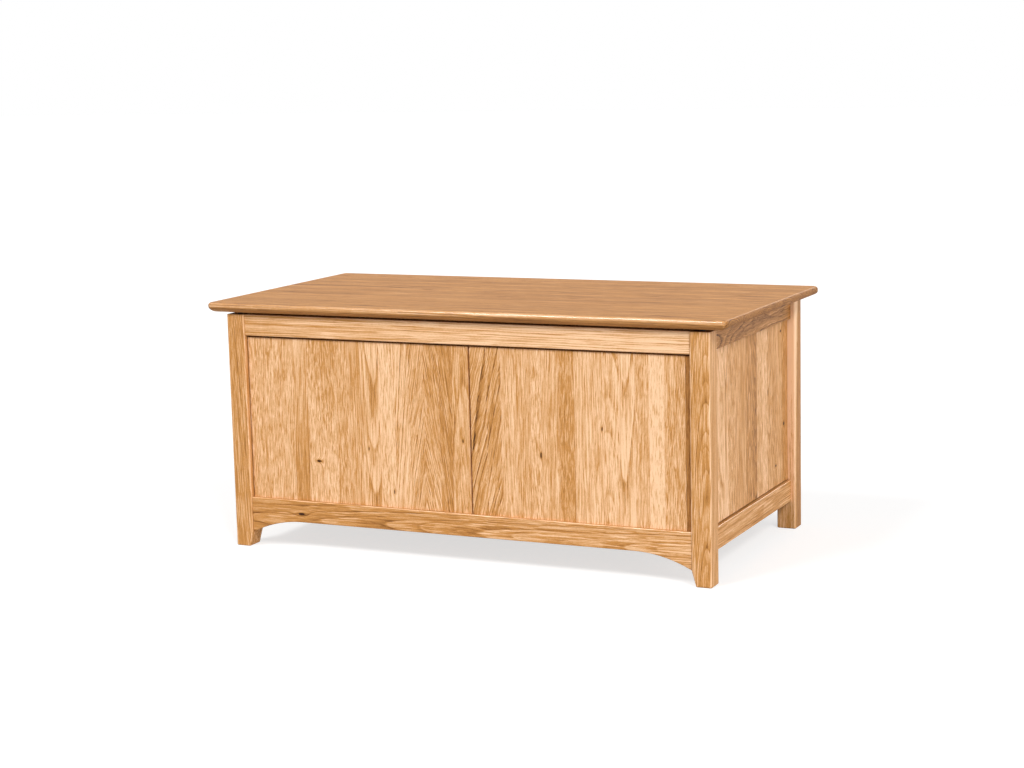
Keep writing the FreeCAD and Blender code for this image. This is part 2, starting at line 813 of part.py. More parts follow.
def make_lid_slab():
    """The lid's slab: rounded corners, a small round over the top edge, and a long sweep under the front and
    the ends."""
    body = new_body("lid_slab")
    radius, waste = size("lid_corner_radius"), size("lid_waste")
    x, y = LID_RIGHT - radius, (LID_FRONT + radius, BACK - radius)
    corners = [
        (-LID_RIGHT, y[1]),
        (-LID_RIGHT, y[0]),
        (-x, LID_FRONT),
        (x, LID_FRONT),
        (LID_RIGHT, y[0]),
        (LID_RIGHT, y[1]),
        (x, BACK),
        (-x, BACK),
    ]
    arcs = {
        1: (-x, y[0], radius),
        3: (x, y[0], radius),
        5: (x, y[1], radius),
        7: (-x, y[1], radius),
    }
    add(body, "z", LID_BASE, LID_TOP, lambda s: draw_outline(s, corners, arcs))
    round_edges(
        body,
        size("lid_top_radius"),
        lambda first, last, middle: near(first.z, LID_TOP) and near(last.z, LID_TOP),
    )
    across = (-LID_RIGHT - waste, LID_RIGHT + waste)
    cut(body, "x", *across, lambda s: draw_under_waste(s, LID_FRONT, 1))
    for way in (-1, 1):
        depth = (LID_FRONT - waste, BACK + waste)
        cut(body, "y", *depth, lambda s: draw_under_waste(s, way * LID_RIGHT, -way))
    return body


def make_lid_battens():
    """Two battens across the underside, inside the case, with sloped ends."""
    half = size("batten_length") / 2
    slope = size("batten_slope")
    base = LID_BASE - size("batten_thickness")
    nose = LID_BASE - size("batten_nose")
    middle_y = (FRONT_RAIL_BACK + BACK_RAIL_FRONT) / 2
    elevation = [
        (middle_y - half, LID_BASE),
        (middle_y - half, nose),
        (middle_y - half + slope, base),
        (middle_y + half - slope, base),
        (middle_y + half, nose),
        (middle_y + half, LID_BASE),
    ]
    x = around(size("batten_offset"), size("batten_width"))
    body = new_body("lid_right_batten")
    add(body, "x", *x, lambda s: draw_outline(s, elevation))
    places = [
        ((side * size("batten_offset"), middle_y + y, base), (0, 0, 1))
        for side in (-1, 1)
        for y in BATTEN_SCREWS
    ]
    group = screw_group("lid_batten_screws", LONG_SCREW, places)
    right = drilled("lid_right_batten", body, group)
    mirrored("lid_left_batten", right)
    return group


def make_bumpers():
    """Two rubber buttons on the front posts, which the closed lid rests on."""
    x, y = RIGHT - post / 2, FRONT + post / 2
    rods = [
        cylinder("bumper", size("bumper_radius"), "z", CASE_TOP, LID_BASE, (way * x, y))
        for way in (-1, 1)
    ]
    pair = doc.addObject("Part::Compound", "lid_bumpers_pair")
    pair.Links = rods
    keep(pair, "lid_bumpers")


# ---- hinges ----


def make_leaf(label, middle_x, plate_z, takes_odd, bore):
    """A hinge leaf: a plate, and every second knuckle round the pin."""
    half = size("hinge_length") / 2
    knuckle = size("hinge_length") / HINGE_KNUCKLES
    gap = size("knuckle_gap") / 2
    plate_y = (BACK - size("leaf_width"), BACK - size("leaf_clearance"))
    body = new_body(label)
    add_block(body, (middle_x - half, middle_x + half), plate_y, plate_z)
    spans = [
        (middle_x - half + i * knuckle + gap, middle_x - half + (i + 1) * knuckle - gap)
        for i in range(HINGE_KNUCKLES)
        if (i % 2 == 0) == takes_odd
    ]
    for span in spans:
        add_block(body, span, (plate_y[1], HINGE_Y), plate_z)
        add(
            body,
            "x",
            *span,
            lambda s: draw_circle(s, HINGE_Y, HINGE_Z, size("knuckle_radius")),
        )
    cut(
        body,
        "x",
        middle_x - half,
        middle_x + half,
        lambda s: draw_circle(s, HINGE_Y, HINGE_Z, bore),
    )
    return body


def make_hinges():
    """Two butt hinges, screwed to the rear top rail and to the lid."""
    thickness = size("leaf_thickness")
    screw_y = BACK - size("leaf_width") / 2
    sides = {"left": -size("hinge_offset"), "right": size("hinge_offset")}
    columns = [x + dx for x in sides.values() for dx in HINGE_SCREWS]
    down, up = (0, 0, -1), (0, 0, 1)
    case_places = [((x, screw_y, CASE_TOP + thickness), down) for x in columns]
    lid_places = [((x, screw_y, LID_BASE - thickness), up) for x in columns]
    case_screws = screw_group("hinge_case_screws", SHORT_SCREW, case_places)
    lid_screws = screw_group("hinge_lid_screws", SHORT_SCREW, lid_places)
    for side, x in sides.items():
        case_z = (CASE_TOP, CASE_TOP + thickness)
        lid_z = (LID_BASE - thickness, LID_BASE)
        label = f"{side}_hinge_case_leaf"
        leaf = make_leaf(label, x, case_z, True, size("pin_radius"))
        drilled(label, leaf, case_screws)
        label = f"{side}_hinge_lid_leaf"
        bore = size("pin_radius") + size("pin_running_gap")
        leaf = make_leaf(label, x, lid_z, False, bore)
        drilled(label, leaf, lid_screws)
        half = size("hinge_length") / 2
        middle = (HINGE_Y, HINGE_Z)
        rod = cylinder("pin", size("pin_radius"), "x", x - half, x + half, middle)
        radius, height = size("pin_head_radius"), size("pin_head_height")
        heads = [
            cylinder("pin_head", radius, "x", x - half - height, x - half, middle),
            cylinder("pin_head", radius, "x", x + half, x + half + height, middle),
        ]
        fused(f"{side}_hinge_pin", [rod, *heads])
    return case_screws, lid_screws


# ---- lid stays ----

# Layers of the right stay, from the side rail inwards: plate, hub, lower arm, upper arm, lid bracket.
STAY_PLATE_X = (SIDE_RAIL_INNER - size("stay_plate_thickness"), SIDE_RAIL_INNER)
STAY_HUB_X = (STAY_PLATE_X[0] - size("stay_hub_length"), STAY_PLATE_X[0])
LOWER_ARM_X = (
    STAY_HUB_X[0] - size("stay_layer_gap") - size("stay_plate_thickness"),
    STAY_HUB_X[0] - size("stay_layer_gap"),
)
UPPER_ARM_X = (
    LOWER_ARM_X[0] - size("stay_layer_gap") - size("stay_plate_thickness"),
    LOWER_ARM_X[0] - size("stay_layer_gap"),
)
BRACKET_TAB_X = (
    UPPER_ARM_X[0] - size("stay_layer_gap") - size("stay_plate_thickness"),
    UPPER_ARM_X[0] - size("stay_layer_gap"),
)


def make_arm(label, x, start, stop, fixed_bore, loose_bore):
    """A flat arm with round ends between two pivots, each given as (y, z)."""
    body = new_body(label)
    radius = size("arm_radius")
    dy, dz = number_of(stop[0] - start[0]), number_of(stop[1] - start[1])
    length = math.hypot(dy, dz)
    side_y, side_z = -dz / length, dy / length
    corners = [
        (start[0] - side_y * radius, start[1] - side_z * radius),
        (stop[0] - side_y * radius, stop[1] - side_z * radius),
        (stop[0] + side_y * radius, stop[1] + side_z * radius),
        (start[0] + side_y * radius, start[1] + side_z * radius),
    ]
    add(body, "x", *x, lambda s: draw_outline(s, corners))
    for end in (start, stop):
        add(body, "x", *x, lambda s: draw_circle(s, *end, radius))
    cut(body, "x", *x, lambda s: draw_circle(s, *start, fixed_bore))
    cut(body, "x", *x, lambda s: draw_circle(s, *stop, loose_bore))
    return body


def make_rivet(label, middle, x):
    """A rivet along X whose shank fills the span x, with a head beyond each end."""
    head_radius, height = size("rivet_head_radius"), size("rivet_head_height")
    shank = cylinder("rivet", size("rivet_radius"), "x", *x, middle)
    low = cylinder("rivet_head", head_radius, "x", x[0] - height, x[0], middle)
    high = cylinder("rivet_head", head_radius, "x", x[1], x[1] + height, middle)
    return fused(label, [shank, low, high])


def make_stay_hub(pivot):
    """The friction hub on the case's plate, with the pin that the lower arm turns on."""
    hub = new_body("right_stay_hub")
    pin_end = LOWER_ARM_X[0] - size("stay_layer_gap") / 2
    add(hub, "x", *STAY_HUB_X, lambda s: draw_circle(s, *pivot, size("stay_hub_radius")))
    round_edges(
        hub,
        size("stay_hub_edge_radius"),
        lambda first, last, middle: near(middle.x, STAY_HUB_X[0]),
    )
    add(
        hub,
        "x",
        pin_end,
        STAY_HUB_X[0],
        lambda s: draw_circle(s, *pivot, size("rivet_radius")),
    )
    add(
        hub,
        "x",
        pin_end - size("rivet_head_height"),
        pin_end,
        lambda s: draw_circle(s, *pivot, size("rivet_head_radius")),
    )
    return hub


def make_stay_plate(pivot, screws):
    """The plate on the side rail that carries the hub."""
    label = "right_stay_case_plate"
    plate = new_body(label)
    y = around(pivot[0], size("stay_plate_length"))
    z = around(pivot[1], size("stay_plate_height"))
    add_block(plate, STAY_PLATE_X, y, z)
    round_edges(
        plate,
        size("stay_plate_corner_radius"),
        lambda first, last, middle: runs_along(first, last, "x"),
    )
    return drilled(label, plate, screws)


def make_stay_bracket(pivot, base_x, base_z, screws):
    """The angle bracket under the lid, with a tab that the upper arm hangs on."""
    label = "right_stay_lid_bracket"
    bracket = new_body(label)
    add_block(
        bracket, base_x, around(pivot[0], size("bracket_length")), (base_z, LID_BASE)
    )
    tab_y = around(pivot[0], 2 * size("arm_radius"))
    add_block(bracket, BRACKET_TAB_X, tab_y, (pivot[1], base_z))
    tab = BRACKET_TAB_X
    add(bracket, "x", *tab, lambda s: draw_circle(s, *pivot, size("arm_radius")))
    cut(bracket, "x", *tab, lambda s: draw_circle(s, *pivot, size("rivet_radius")))
    return drilled(label, bracket, screws)


def make_stays():
    """The right lid stay, then its twin on the left.  The two arms and the lid make a parallelogram with the
    case, so the lower arm turns as much as the lid and the upper arm keeps its slope."""
    pivot = (STAY_PIVOT_Y, STAY_PIVOT_Z)
    lid_pivot = (STAY_LID_Y, STAY_LID_Z)
    elbow = (STAY_ELBOW_Y, STAY_ELBOW_Z)
    half_gap = size("stay_layer_gap") / 2

    plate_reach = size("stay_plate_length") / 2 - size("stay_screw_margin")
    case_places = [
        ((way * STAY_PLATE_X[0], STAY_PIVOT_Y + end * plate_reach, STAY_PIVOT_Z), (way, 0, 0))
        for way in (-1, 1)
        for end in (-1, 1)
    ]
    bracket_reach = size("bracket_length") / 2 - size("stay_screw_margin")
    bracket_x = (BRACKET_TAB_X[1] - size("bracket_width"), BRACKET_TAB_X[1])
    bracket_z = LID_BASE - size("stay_plate_thickness")
    screw_x = (bracket_x[0] + BRACKET_TAB_X[0]) / 2
    lid_places = [
        ((way * screw_x, STAY_LID_Y + end * bracket_reach, bracket_z), (0, 0, 1))
        for way in (-1, 1)
        for end in (-1, 1)
    ]
    case_screws = screw_group("stay_case_screws", SHORT_SCREW, case_places)
    lid_screws = screw_group("stay_lid_screws", SHORT_SCREW, lid_places)

    shank = size("rivet_radius")
    running = shank + size("rivet_running_gap")
    loose = shank + size("elbow_running_gap")
    pieces = [
        make_stay_plate(pivot, case_screws),
        make_stay_hub(pivot),
        make_arm("right_stay_lower_arm", LOWER_ARM_X, pivot, elbow, running, shank),
        make_arm("right_stay_upper_arm", UPPER_ARM_X, lid_pivot, elbow, running, loose),
        make_rivet(
            "right_stay_elbow_rivet", elbow, (UPPER_ARM_X[0] - half_gap, LOWER_ARM_X[1])
        ),
        make_stay_bracket(lid_pivot, bracket_x, bracket_z, lid_screws),
        make_rivet(
            "right_stay_lid_rivet", lid_pivot, (BRACKET_TAB_X[0], UPPER_ARM_X[1] + half_gap)
        ),
    ]
    for piece in pieces:
        mirrored(piece.Label.replace("right_", "left_"), piece)
    return case_screws, lid_screws


# ---- the whole chest ----


def build():
    make_front_post()
    make_back_post()

    cleat_screws = make_floor_cleats()
    hinge_case_screws, hinge_lid_screws = make_hinges()
    stay_case_screws, stay_lid_screws = make_stays()
    batten_screws = make_lid_battens()

    cross_top_z = (CROSS_TOP_RAIL_BASE, CASE_TOP)
    low_z = (BOTTOM_RAIL_BASE, BOTTOM_RAIL_TOP)
    front = (FRONT_RAIL_FACE, FRONT_RAIL_BACK)
    back = (BACK_RAIL_FRONT, BACK_RAIL_FACE)
    make_cross_rail(
        "front_top_rail", *front, cross_top_z, FRONT_TENON_Y, TOP_TENON_Z, FRONT_TONGUE_MIDDLE, False
    )
    drilled("front_bottom_rail", make_arched_rail(), cleat_screws)
    rail = make_cross_rail(
        "rear_top_rail", *back, cross_top_z, BACK_TENON_Y, TOP_TENON_Z, BACK_TONGUE_MIDDLE, False
    )
    drilled("rear_top_rail", rail, hinge_case_screws)
    rail = make_cross_rail(
        "rear_bottom_rail", *back, low_z, BACK_TENON_Y, BOTTOM_TENON_Z, BACK_TONGUE_MIDDLE, True
    )
    drilled("rear_bottom_rail", rail, cleat_screws)
    side_top_z = (SIDE_TOP_RAIL_BASE, CASE_TOP)
    rail = make_side_rail("right_top_rail", side_top_z, TOP_TENON_Z, False)
    mirrored("left_top_rail", drilled("right_top_rail", rail, stay_case_screws))
    rail = make_side_rail("right_bottom_rail", low_z, BOTTOM_TENON_Z, True)
    mirrored("left_bottom_rail", drilled("right_bottom_rail", rail, cleat_screws))

    make_cross_panels("front", FRONT_PANEL_FACE, 1)
    make_cross_panels("rear", BACK_PANEL_FACE, -1)
    make_side_panel()
    make_floor_boards()
    drilled("lid_slab", make_lid_slab(), hinge_lid_screws, stay_lid_screws, batten_screws)
    make_bumpers()
    doc.recompute()


def check():
    """Stops if any object failed, or any sub-part is empty or not valid."""
    for thing in doc.Objects:
        if "Invalid" in thing.State or "Error" in thing.State:
            raise RuntimeError(f"{thing.Label} failed: {thing.State}")
    for label, thing in subparts.items():
        shape = thing.Shape
        if shape.isNull() or not shape.isValid() or not shape.Solids:
            raise RuntimeError(f"{label} has no valid solid")


build()
check()
os.makedirs("parts", exist_ok=True)
for label, thing in subparts.items():
    thing.Shape.exportStep(f"parts/{label}.step")
    box = thing.Shape.BoundBox
    print(
        f"{label:26s} {len(thing.Shape.Solids):2d} solids"
        f"  x {box.XMin:8.2f} {box.XMax:8.2f}  y {box.YMin:8.2f} {box.YMax:8.2f}"
        f"  z {box.ZMin:7.2f} {box.ZMax:7.2f}  {thing.Shape.Volume / 1000:9.2f} cm3"
    )
print(len(subparts), "sub-parts")
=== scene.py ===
import math
import random
from collections import namedtuple

import bmesh
import bpy
from bpy.props import FloatProperty, FloatVectorProperty, IntProperty, PointerProperty
from mathutils import Matrix, Vector


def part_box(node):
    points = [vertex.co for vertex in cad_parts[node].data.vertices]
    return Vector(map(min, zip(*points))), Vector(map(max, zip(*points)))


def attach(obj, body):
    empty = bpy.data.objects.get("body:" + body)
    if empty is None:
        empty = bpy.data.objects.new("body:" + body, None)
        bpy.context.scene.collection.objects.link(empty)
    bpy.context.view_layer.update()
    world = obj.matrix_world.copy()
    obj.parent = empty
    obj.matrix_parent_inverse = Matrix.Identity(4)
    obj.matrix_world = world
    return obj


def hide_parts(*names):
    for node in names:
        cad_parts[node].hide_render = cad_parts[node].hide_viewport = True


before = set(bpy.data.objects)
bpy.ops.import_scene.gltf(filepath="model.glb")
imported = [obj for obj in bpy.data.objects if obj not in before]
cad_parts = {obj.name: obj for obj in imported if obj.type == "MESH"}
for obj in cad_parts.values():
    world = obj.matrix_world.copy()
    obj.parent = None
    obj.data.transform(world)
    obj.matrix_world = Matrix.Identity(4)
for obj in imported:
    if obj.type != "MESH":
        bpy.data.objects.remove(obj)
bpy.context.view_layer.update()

bl_info = {
    "name": "Oak Blanket Chest",
    "version": (1, 0, 0),
    "blender": (4, 5, 0),
    "location": "3D View > Sidebar > Chest",
    "description": "Dresses the joined frame of an oak blanket chest: staves, boards, hardware and stage",
    "category": "Object",
}

# Lengths are in metres. TO_MM turns them into millimetres, and points closer than WELD become one.
MM = 0.001
TO_MM = 1000.0
WELD = 0.001 * MM

FRONT, BACK, LEFT, RIGHT = (0, -1, 0), (0, 1, 0), (-1, 0, 0), (1, 0, 0)
UP, DOWN = (0, 0, 1), (0, 0, -1)


# ---- sizes and colours to change ----


class OakFinish(bpy.types.PropertyGroup):
    """The tones and the figure that all the oak shares."""

    pale: FloatVectorProperty(
        name="Pale Oak", description="Tone of the palest staves",
        subtype="COLOR", size=4, min=0.0, max=1.0, default=(0.97, 0.635, 0.385, 1.0),
    )
    honey: FloatVectorProperty(
        name="Honey Oak", description="Tone of the browner staves",
        subtype="COLOR", size=4, min=0.0, max=1.0, default=(0.6, 0.28, 0.08, 1.0),
    )
    brown: FloatVectorProperty(
        name="Brown Oak", description="Tone of streaks and open grain",
        subtype="COLOR", size=4, min=0.0, max=1.0, default=(0.33, 0.138, 0.038, 1.0),
    )
    dark: FloatVectorProperty(
        name="Dark Oak", description="Tone of the middle of a knot",
        subtype="COLOR", size=4, min=0.0, max=1.0, default=(0.055, 0.022, 0.010, 1.0),
    )
    streak: FloatProperty(
        name="Streaks", description="Strength of the long streaks along the grain", default=3.0, min=0.0,
    )
    dash: FloatProperty(
        name="Dashes", description="Strength of the short dark dashes", default=0.36, min=0.0,
    )
    fibre: FloatProperty(name="Fibre", description="Strength of the finest fibres", default=0.8, min=0.0)
    pore: FloatProperty(name="Pores", description="Strength of the open pores", default=0.8, min=0.0)
    end_grain: FloatProperty(
        name="End Grain", description="How much darker sawn ends are", default=0.5, min=0.0,
    )
    roughness: FloatProperty(
        name="Roughness", description="Roughness of the oiled surface",
        subtype="FACTOR", default=0.44, min=0.0, max=1.0,
    )
    seed: IntProperty(name="Seed", description="Seed of every random choice of board", default=11)


class PanelSizes(bpy.types.PropertyGroup):
    """How the glued-up panels sit in their frames."""

    head_gap: FloatProperty(
        name="Head Gap", description="Open gap over the front and rear panels",
        unit="LENGTH", default=4 * MM,
    )
    foot_gap: FloatProperty(
        name="Foot Gap", description="Open gap under the front and rear panels",
        unit="LENGTH", default=0.3 * MM,
    )
    end_head_gap: FloatProperty(
        name="End Head Gap", description="Open gap over the end panels", unit="LENGTH", default=1 * MM,
    )
    end_foot_gap: FloatProperty(
        name="End Foot Gap", description="Open gap under the end panels", unit="LENGTH", default=3 * MM,
    )
    side_gap: FloatProperty(
        name="Side Gap", description="Open gap between a panel and a post", unit="LENGTH", default=2 * MM,
    )
    joint_gap: FloatProperty(
        name="Joint Gap", description="Open gap between the two panels of a pair",
        unit="LENGTH", default=3.4 * MM,
    )
    groove_depth: FloatProperty(
        name="Groove Depth", description="How deep the open gaps run in behind a panel's face",
        unit="LENGTH", default=8 * MM,
    )
    tongue: FloatProperty(
        name="Tongue", description="Thickness of the tongue that closes the gaps",
        unit="LENGTH", default=2 * MM,
    )
    ease: FloatProperty(
        name="Eased Edge", description="Radius on the long edges of each stave",
        unit="LENGTH", default=0.35 * MM,
    )
    unevenness: FloatProperty(
        name="Unevenness", description="How far a stave's face may lie under its neighbour's",
        unit="LENGTH", default=0.15 * MM,
    )


class LidSizes(bpy.types.PropertyGroup):
    """The shape of the lid's edges."""

    corner_radius: FloatProperty(
        name="Corner Radius", description="Radius of the corners, seen from above",
        unit="LENGTH", default=11 * MM,
    )
    top_radius: FloatProperty(
        name="Top Radius", description="Round over the upper edge", unit="LENGTH", default=6.5 * MM,
    )
    nose_radius: FloatProperty(
        name="Nose Radius", description="Round where the edge turns under", unit="LENGTH", default=9 * MM,
    )
    under_reach: FloatProperty(
        name="Under Reach", description="How far the sweep runs in under the front and the ends",
        unit="LENGTH", default=20 * MM,
    )
    under_height: FloatProperty(
        name="Under Height", description="How high the sweep comes up the front and the ends",
        unit="LENGTH", default=13 * MM,
    )


class HardwareFinish(bpy.types.PropertyGroup):
    """The metals and the rubber."""

    brass: FloatVectorProperty(
        name="Brass", description="Colour of the hinges",
        subtype="COLOR", size=4, min=0.0, max=1.0, default=(0.56, 0.40, 0.20, 1.0),
    )
    steel: FloatVectorProperty(
        name="Plated Steel", description="Colour of the lid stays",
        subtype="COLOR", size=4, min=0.0, max=1.0, default=(0.56, 0.56, 0.54, 1.0),
    )
    rubber: FloatVectorProperty(
        name="Rubber", description="Colour of the bumpers",
        subtype="COLOR", size=4, min=0.0, max=1.0, default=(0.035, 0.03, 0.027, 1.0),
    )


class StageSizes(bpy.types.PropertyGroup):
    """The camera, the lamps and the floor."""

    camera_place: FloatVectorProperty(
        name="Camera Place", description="Where the camera stands",
        subtype="TRANSLATION", size=3, default=(1.7818, -3.7851, 0.9912),
    )
    camera_yaw: FloatProperty(
        name="Camera Yaw", description="Turn of the camera to its left",
        unit="ROTATION", default=math.radians(25.34),
    )
    camera_pitch: FloatProperty(
        name="Camera Pitch", description="Dip of the camera below level",
        unit="ROTATION", default=math.radians(9.19),
    )
    camera_roll: FloatProperty(
        name="Camera Roll", description="Turn of the camera about its line of sight",
        unit="ROTATION", default=math.radians(-1.39),
    )
    lens: FloatProperty(name="Lens", description="Focal length in millimetres", default=73.52)
    world: FloatProperty(name="World", description="Level of the even light", default=0.35)
    key: FloatProperty(name="Key", description="Level of the lamp at the front right", default=1.3)
    front: FloatProperty(
        name="Front Lamp", description="Level of the soft lamp at the front left", default=1.64,
    )
    side: FloatProperty(
        name="Side Lamp", description="Level of the soft lamp low on the right", default=1.46,
    )
    back: FloatProperty(name="Back Lamp", description="Level of the soft lamp low behind", default=0.8)
    floor: FloatVectorProperty(
        name="Floor", description="Colour of the floor",
        subtype="COLOR", size=4, min=0.0, max=1.0, default=(0.45, 0.45, 0.45, 1.0),
    )
    floor_lift: FloatProperty(
        name="Floor Lift", description="Light of its own that the floor shows to the eye", default=0.66,
    )


# ---- node trees ----


class Graph:
    """Adds nodes to a tree, set and linked, in reading order."""

    COLUMNS, WIDTH, HEIGHT = 12, 220, 320

    def __init__(self, tree):
        self.tree = tree

    def add(self, kind, inputs=None, **settings):
        row, column = divmod(len(self.tree.nodes), self.COLUMNS)
        node = self.tree.nodes.new(kind)
        node.location = (self.WIDTH * column, -self.HEIGHT * row)
        for name, value in settings.items():
            setattr(node, name, value)
        for key, value in (inputs or {}).items():
            if isinstance(value, bpy.types.NodeSocket):
                self.tree.links.new(value, node.inputs[key])
            else:
                node.inputs[key].default_value = value
        return node

    def made(self, kind, inputs=None, **settings):
        """What comes out of a new node first."""
        return self.add(kind, inputs, **settings).outputs[0]

    def math(self, operation, *values):
        return self.made("ShaderNodeMath", dict(enumerate(values)), operation=operation)

    def vector(self, operation, *values):
        node = self.add("ShaderNodeVectorMath", dict(enumerate(values)), operation=operation)
        return node.outputs["Value" if operation in ("LENGTH", "DOT_PRODUCT") else "Vector"]

    def scaled(self, vector, amount):
        return self.made("ShaderNodeVectorMath", {0: vector, "Scale": amount}, operation="SCALE")

    def split(self, vector):
        return self.add("ShaderNodeSeparateXYZ", {0: vector}).outputs

    def join(self, x=0.0, y=0.0, z=0.0):
        return self.made("ShaderNodeCombineXYZ", {0: x, 1: y, 2: z})

    def fold(self, operation, values):
        """One value out of several, taken in turn."""
        result, *rest = values
        for value in rest:
            result = self.math(operation, result, value)
        return result

    def total(self, *values):
        return self.fold("ADD", values)

    def times(self, *values):
        return self.fold("MULTIPLY", values)

    def less(self, value, amount):
        return self.math("SUBTRACT", value, amount)

    def ease(self, value, low, high, to_low=0.0, to_high=1.0):
        """A smooth step of value from low to high."""
        return self.made("ShaderNodeMapRange", {
            "Value": value, "From Min": low, "From Max": high, "To Min": to_low, "To Max": to_high,
        }, interpolation_type="SMOOTHSTEP")

    def noise(self, place, often, detail, roughness, output="Fac"):
        """Noise about a half. often says how often it repeats along each axis of place."""
        where = self.vector("MULTIPLY", place, often)
        inputs = {"Vector": where, "Scale": 1.0, "Detail": detail, "Roughness": roughness}
        return self.add("ShaderNodeTexNoise", inputs).outputs[output]

    def bumped(self, height, strength, distance):
        return self.made("ShaderNodeBump", {"Strength": strength, "Distance": distance, "Height": height})

    def principled(self, inputs):
        """Ends a material's tree in one opaque surface."""
        surface = self.made("ShaderNodeBsdfPrincipled", inputs)
        self.add("ShaderNodeOutputMaterial", {"Surface": surface})


def sockets(tree, way, **kinds):
    """Adds sockets to a node group, by kind and name."""
    for kind, names in kinds.items():
        for name in names.split(", "):
            tree.interface.new_socket(name=name, in_out=way, socket_type="NodeSocket" + kind)


def blank(kind, name):
    """A new material or world with nothing in its tree yet, and the graph that fills it."""
    data = kind.new(name)
    data.use_nodes = True
    data.node_tree.nodes.clear()
    return data, Graph(data.node_tree)


def placed(name, data):
    """A new object in the scene with this mesh, lamp or camera."""
    item = bpy.data.objects.new(name, data)
    bpy.context.scene.collection.objects.link(item)
    return item


# ---- oak ----

# How one board was sawn. pith is a point on the middle of its log, in metres; turn brings the log's length
# from Z to its own direction; ring is the width of a year in mm; tone is 0 for pale, 1 for honey and 2 for
# brown; fade is what it gains over a metre along each axis of the log; figure, dash and wave set how strong
# its rings, how dark its dashes and how wavy its grain are; stretch draws its dashes out below 1; knot_size
# is half the size of its one knot, across, through and along the grain, in mm.
Look = namedtuple("Look", "pith turn ring tone fade figure dash wave stretch seed knot knot_size")
LOOK_VECTORS = {"pith", "turn", "fade", "knot", "knot_size"}
NO_KNOT = (0.0, 0.0, 0.0)

# A knot under LEAST_KNOT mm shows as none, a tone fades by MOST_FADE at most, and a whole seed moves the
# patterns by SEED_STEP mm.
LEAST_KNOT = 0.05
MOST_FADE = 1.9
SEED_STEP = (13.7, 29.1, 71.3)

# How often each pattern repeats in a mm, across, through and along the log, then its detail and roughness.
# YEARS counts in years, and PORES are cells.
BENDS = (0.016, 0.016, 0.0032), 1.0, 0.35
RIPPLES = (0.07, 0.07, 0.03), 1.0, 0.5
STREAKS = (0.46, 0.46, 0.0035), 2.0, 0.62
DASHES = (0.75, 0.75, 0.042), 1.0, 0.55
FIBRES = (1.7, 1.7, 0.25), 1.0, 0.6
CLOUDS = (0.035, 0.035, 0.006), 1.0, 0.5
YEARS = (0.37, 0.37, 0.37), 1.0, 0.5
PORES = (1.9, 1.9, 0.23)

# How far the log bends and its grain ripples, in mm, and the share of the ripple that its rings take.
BEND_SIZE = (10.0, 10.0, 0.0)
RIPPLE_SIZE = (2.2, 2.2, 0.0)
RING_RIPPLE = 0.2

# How many years the rings stray, the share of a year in which early wood darkens, and how fast it fades.
YEAR_STRAY = 2.6
EARLY_SHARE = 0.14
EARLY_FALL = -3.0

# What each pattern comes to on the whole, taken off so that a board keeps its tone.
EARLY_MEAN = 0.25
RING_MEAN = 0.18
DASH_MEAN = 0.3

# Early wood raises the noise of dashes by DASH_CROWD at most. Then where in it one begins and is complete,
# and how far out in its cell a pore begins to fade and is gone.
DASH_CROWD = 0.1
DASH_EDGE = (0.44, 0.74)
PORE_EDGE = (0.16, 0.34)

# What a thing gains at most over what it has anywhere: early wood by the year, rings in a dash and on a sawn
# end, and pores in early wood. Then the size of the slow changes of tone.
YEAR_GAIN = (0.8, 0.4)
RING_GAIN = (0.7, 0.7)
END_GAIN = (1.2, 0.95)
PORE_GAIN = (0.85, 0.18)
CLOUD_SIZE = 0.3

# A knot's middle and halo fade between two multiples of its size, from a darkness to none, and fray with the
# fibres. The rings swell by KNOT_SWELL of half its width, out to about KNOT_REACH times its size.
KNOT_FRAY = 0.9
KNOT_MIDDLE = (0.5, 1.25, 2.6, 0.0)
KNOT_HALO = (0.8, 2.8, 0.6, 0.0)
KNOT_REACH = 3.0
KNOT_SWELL = 1.4

# What each pattern adds to the roughness and the height of the surface, and how strong and deep its bump is.
ROUGHENS = {"pores": 0.12, "dashes": 0.12, "streaks": 0.2, "end": 0.12}
RAISES = {"pores": -0.8, "dashes": -0.5, "fibres": 0.6, "early": -0.2}
OAK_BUMP = 0.06
OAK_BUMP_DEPTH = 0.12 * MM

# How squarely a face looks along the grain to be a sawn end, along an axis to be flat, and up to take the
# painted
# highlight and polish of an edge: where each begins and is complete.
END_FACING = (0.3, 0.75)
FLAT_FACING = (0.86, 0.995)
HIGHLIGHT_AND_POLISH_FACING = (-0.3, -0.05)

# Rounded edges: how much paler they are painted, as a highlight, how much smoother they are, how much polish
# they have, and how rough that is.
ARRIS_PAINTED_HIGHLIGHT = -0.5
ARRIS_GLOSS = -0.22
ARRIS_POLISH = 0.7
POLISH_ROUGHNESS = 0.2

# How far the log's middle lies across a board's face and behind it, in mm, and how strong its rings show.
# Then the turns in degrees that bring Z to each axis.
CUTS = {
    "flat": ((-8, 8), (30, 55), 1.0),
    "rift": ((35, 70), (35, 70), 0.8),
    "quarter": ((80, 130), (-12, 12), 0.55),
}
GRAIN_TURNS = {"x": (0.0, 90.0, 0.0), "y": (-90.0, 0.0, 0.0), "z": (0.0, 0.0, 0.0)}

# What a board draws by chance: its slope in degrees, the width of its years in mm, and its seed.
LEANS = (1.5, 5.0)
DRIFTS = (-2.0, 2.0)
RINGS = (2.6, 4.2)
SEEDS = (0.0, 9.0)


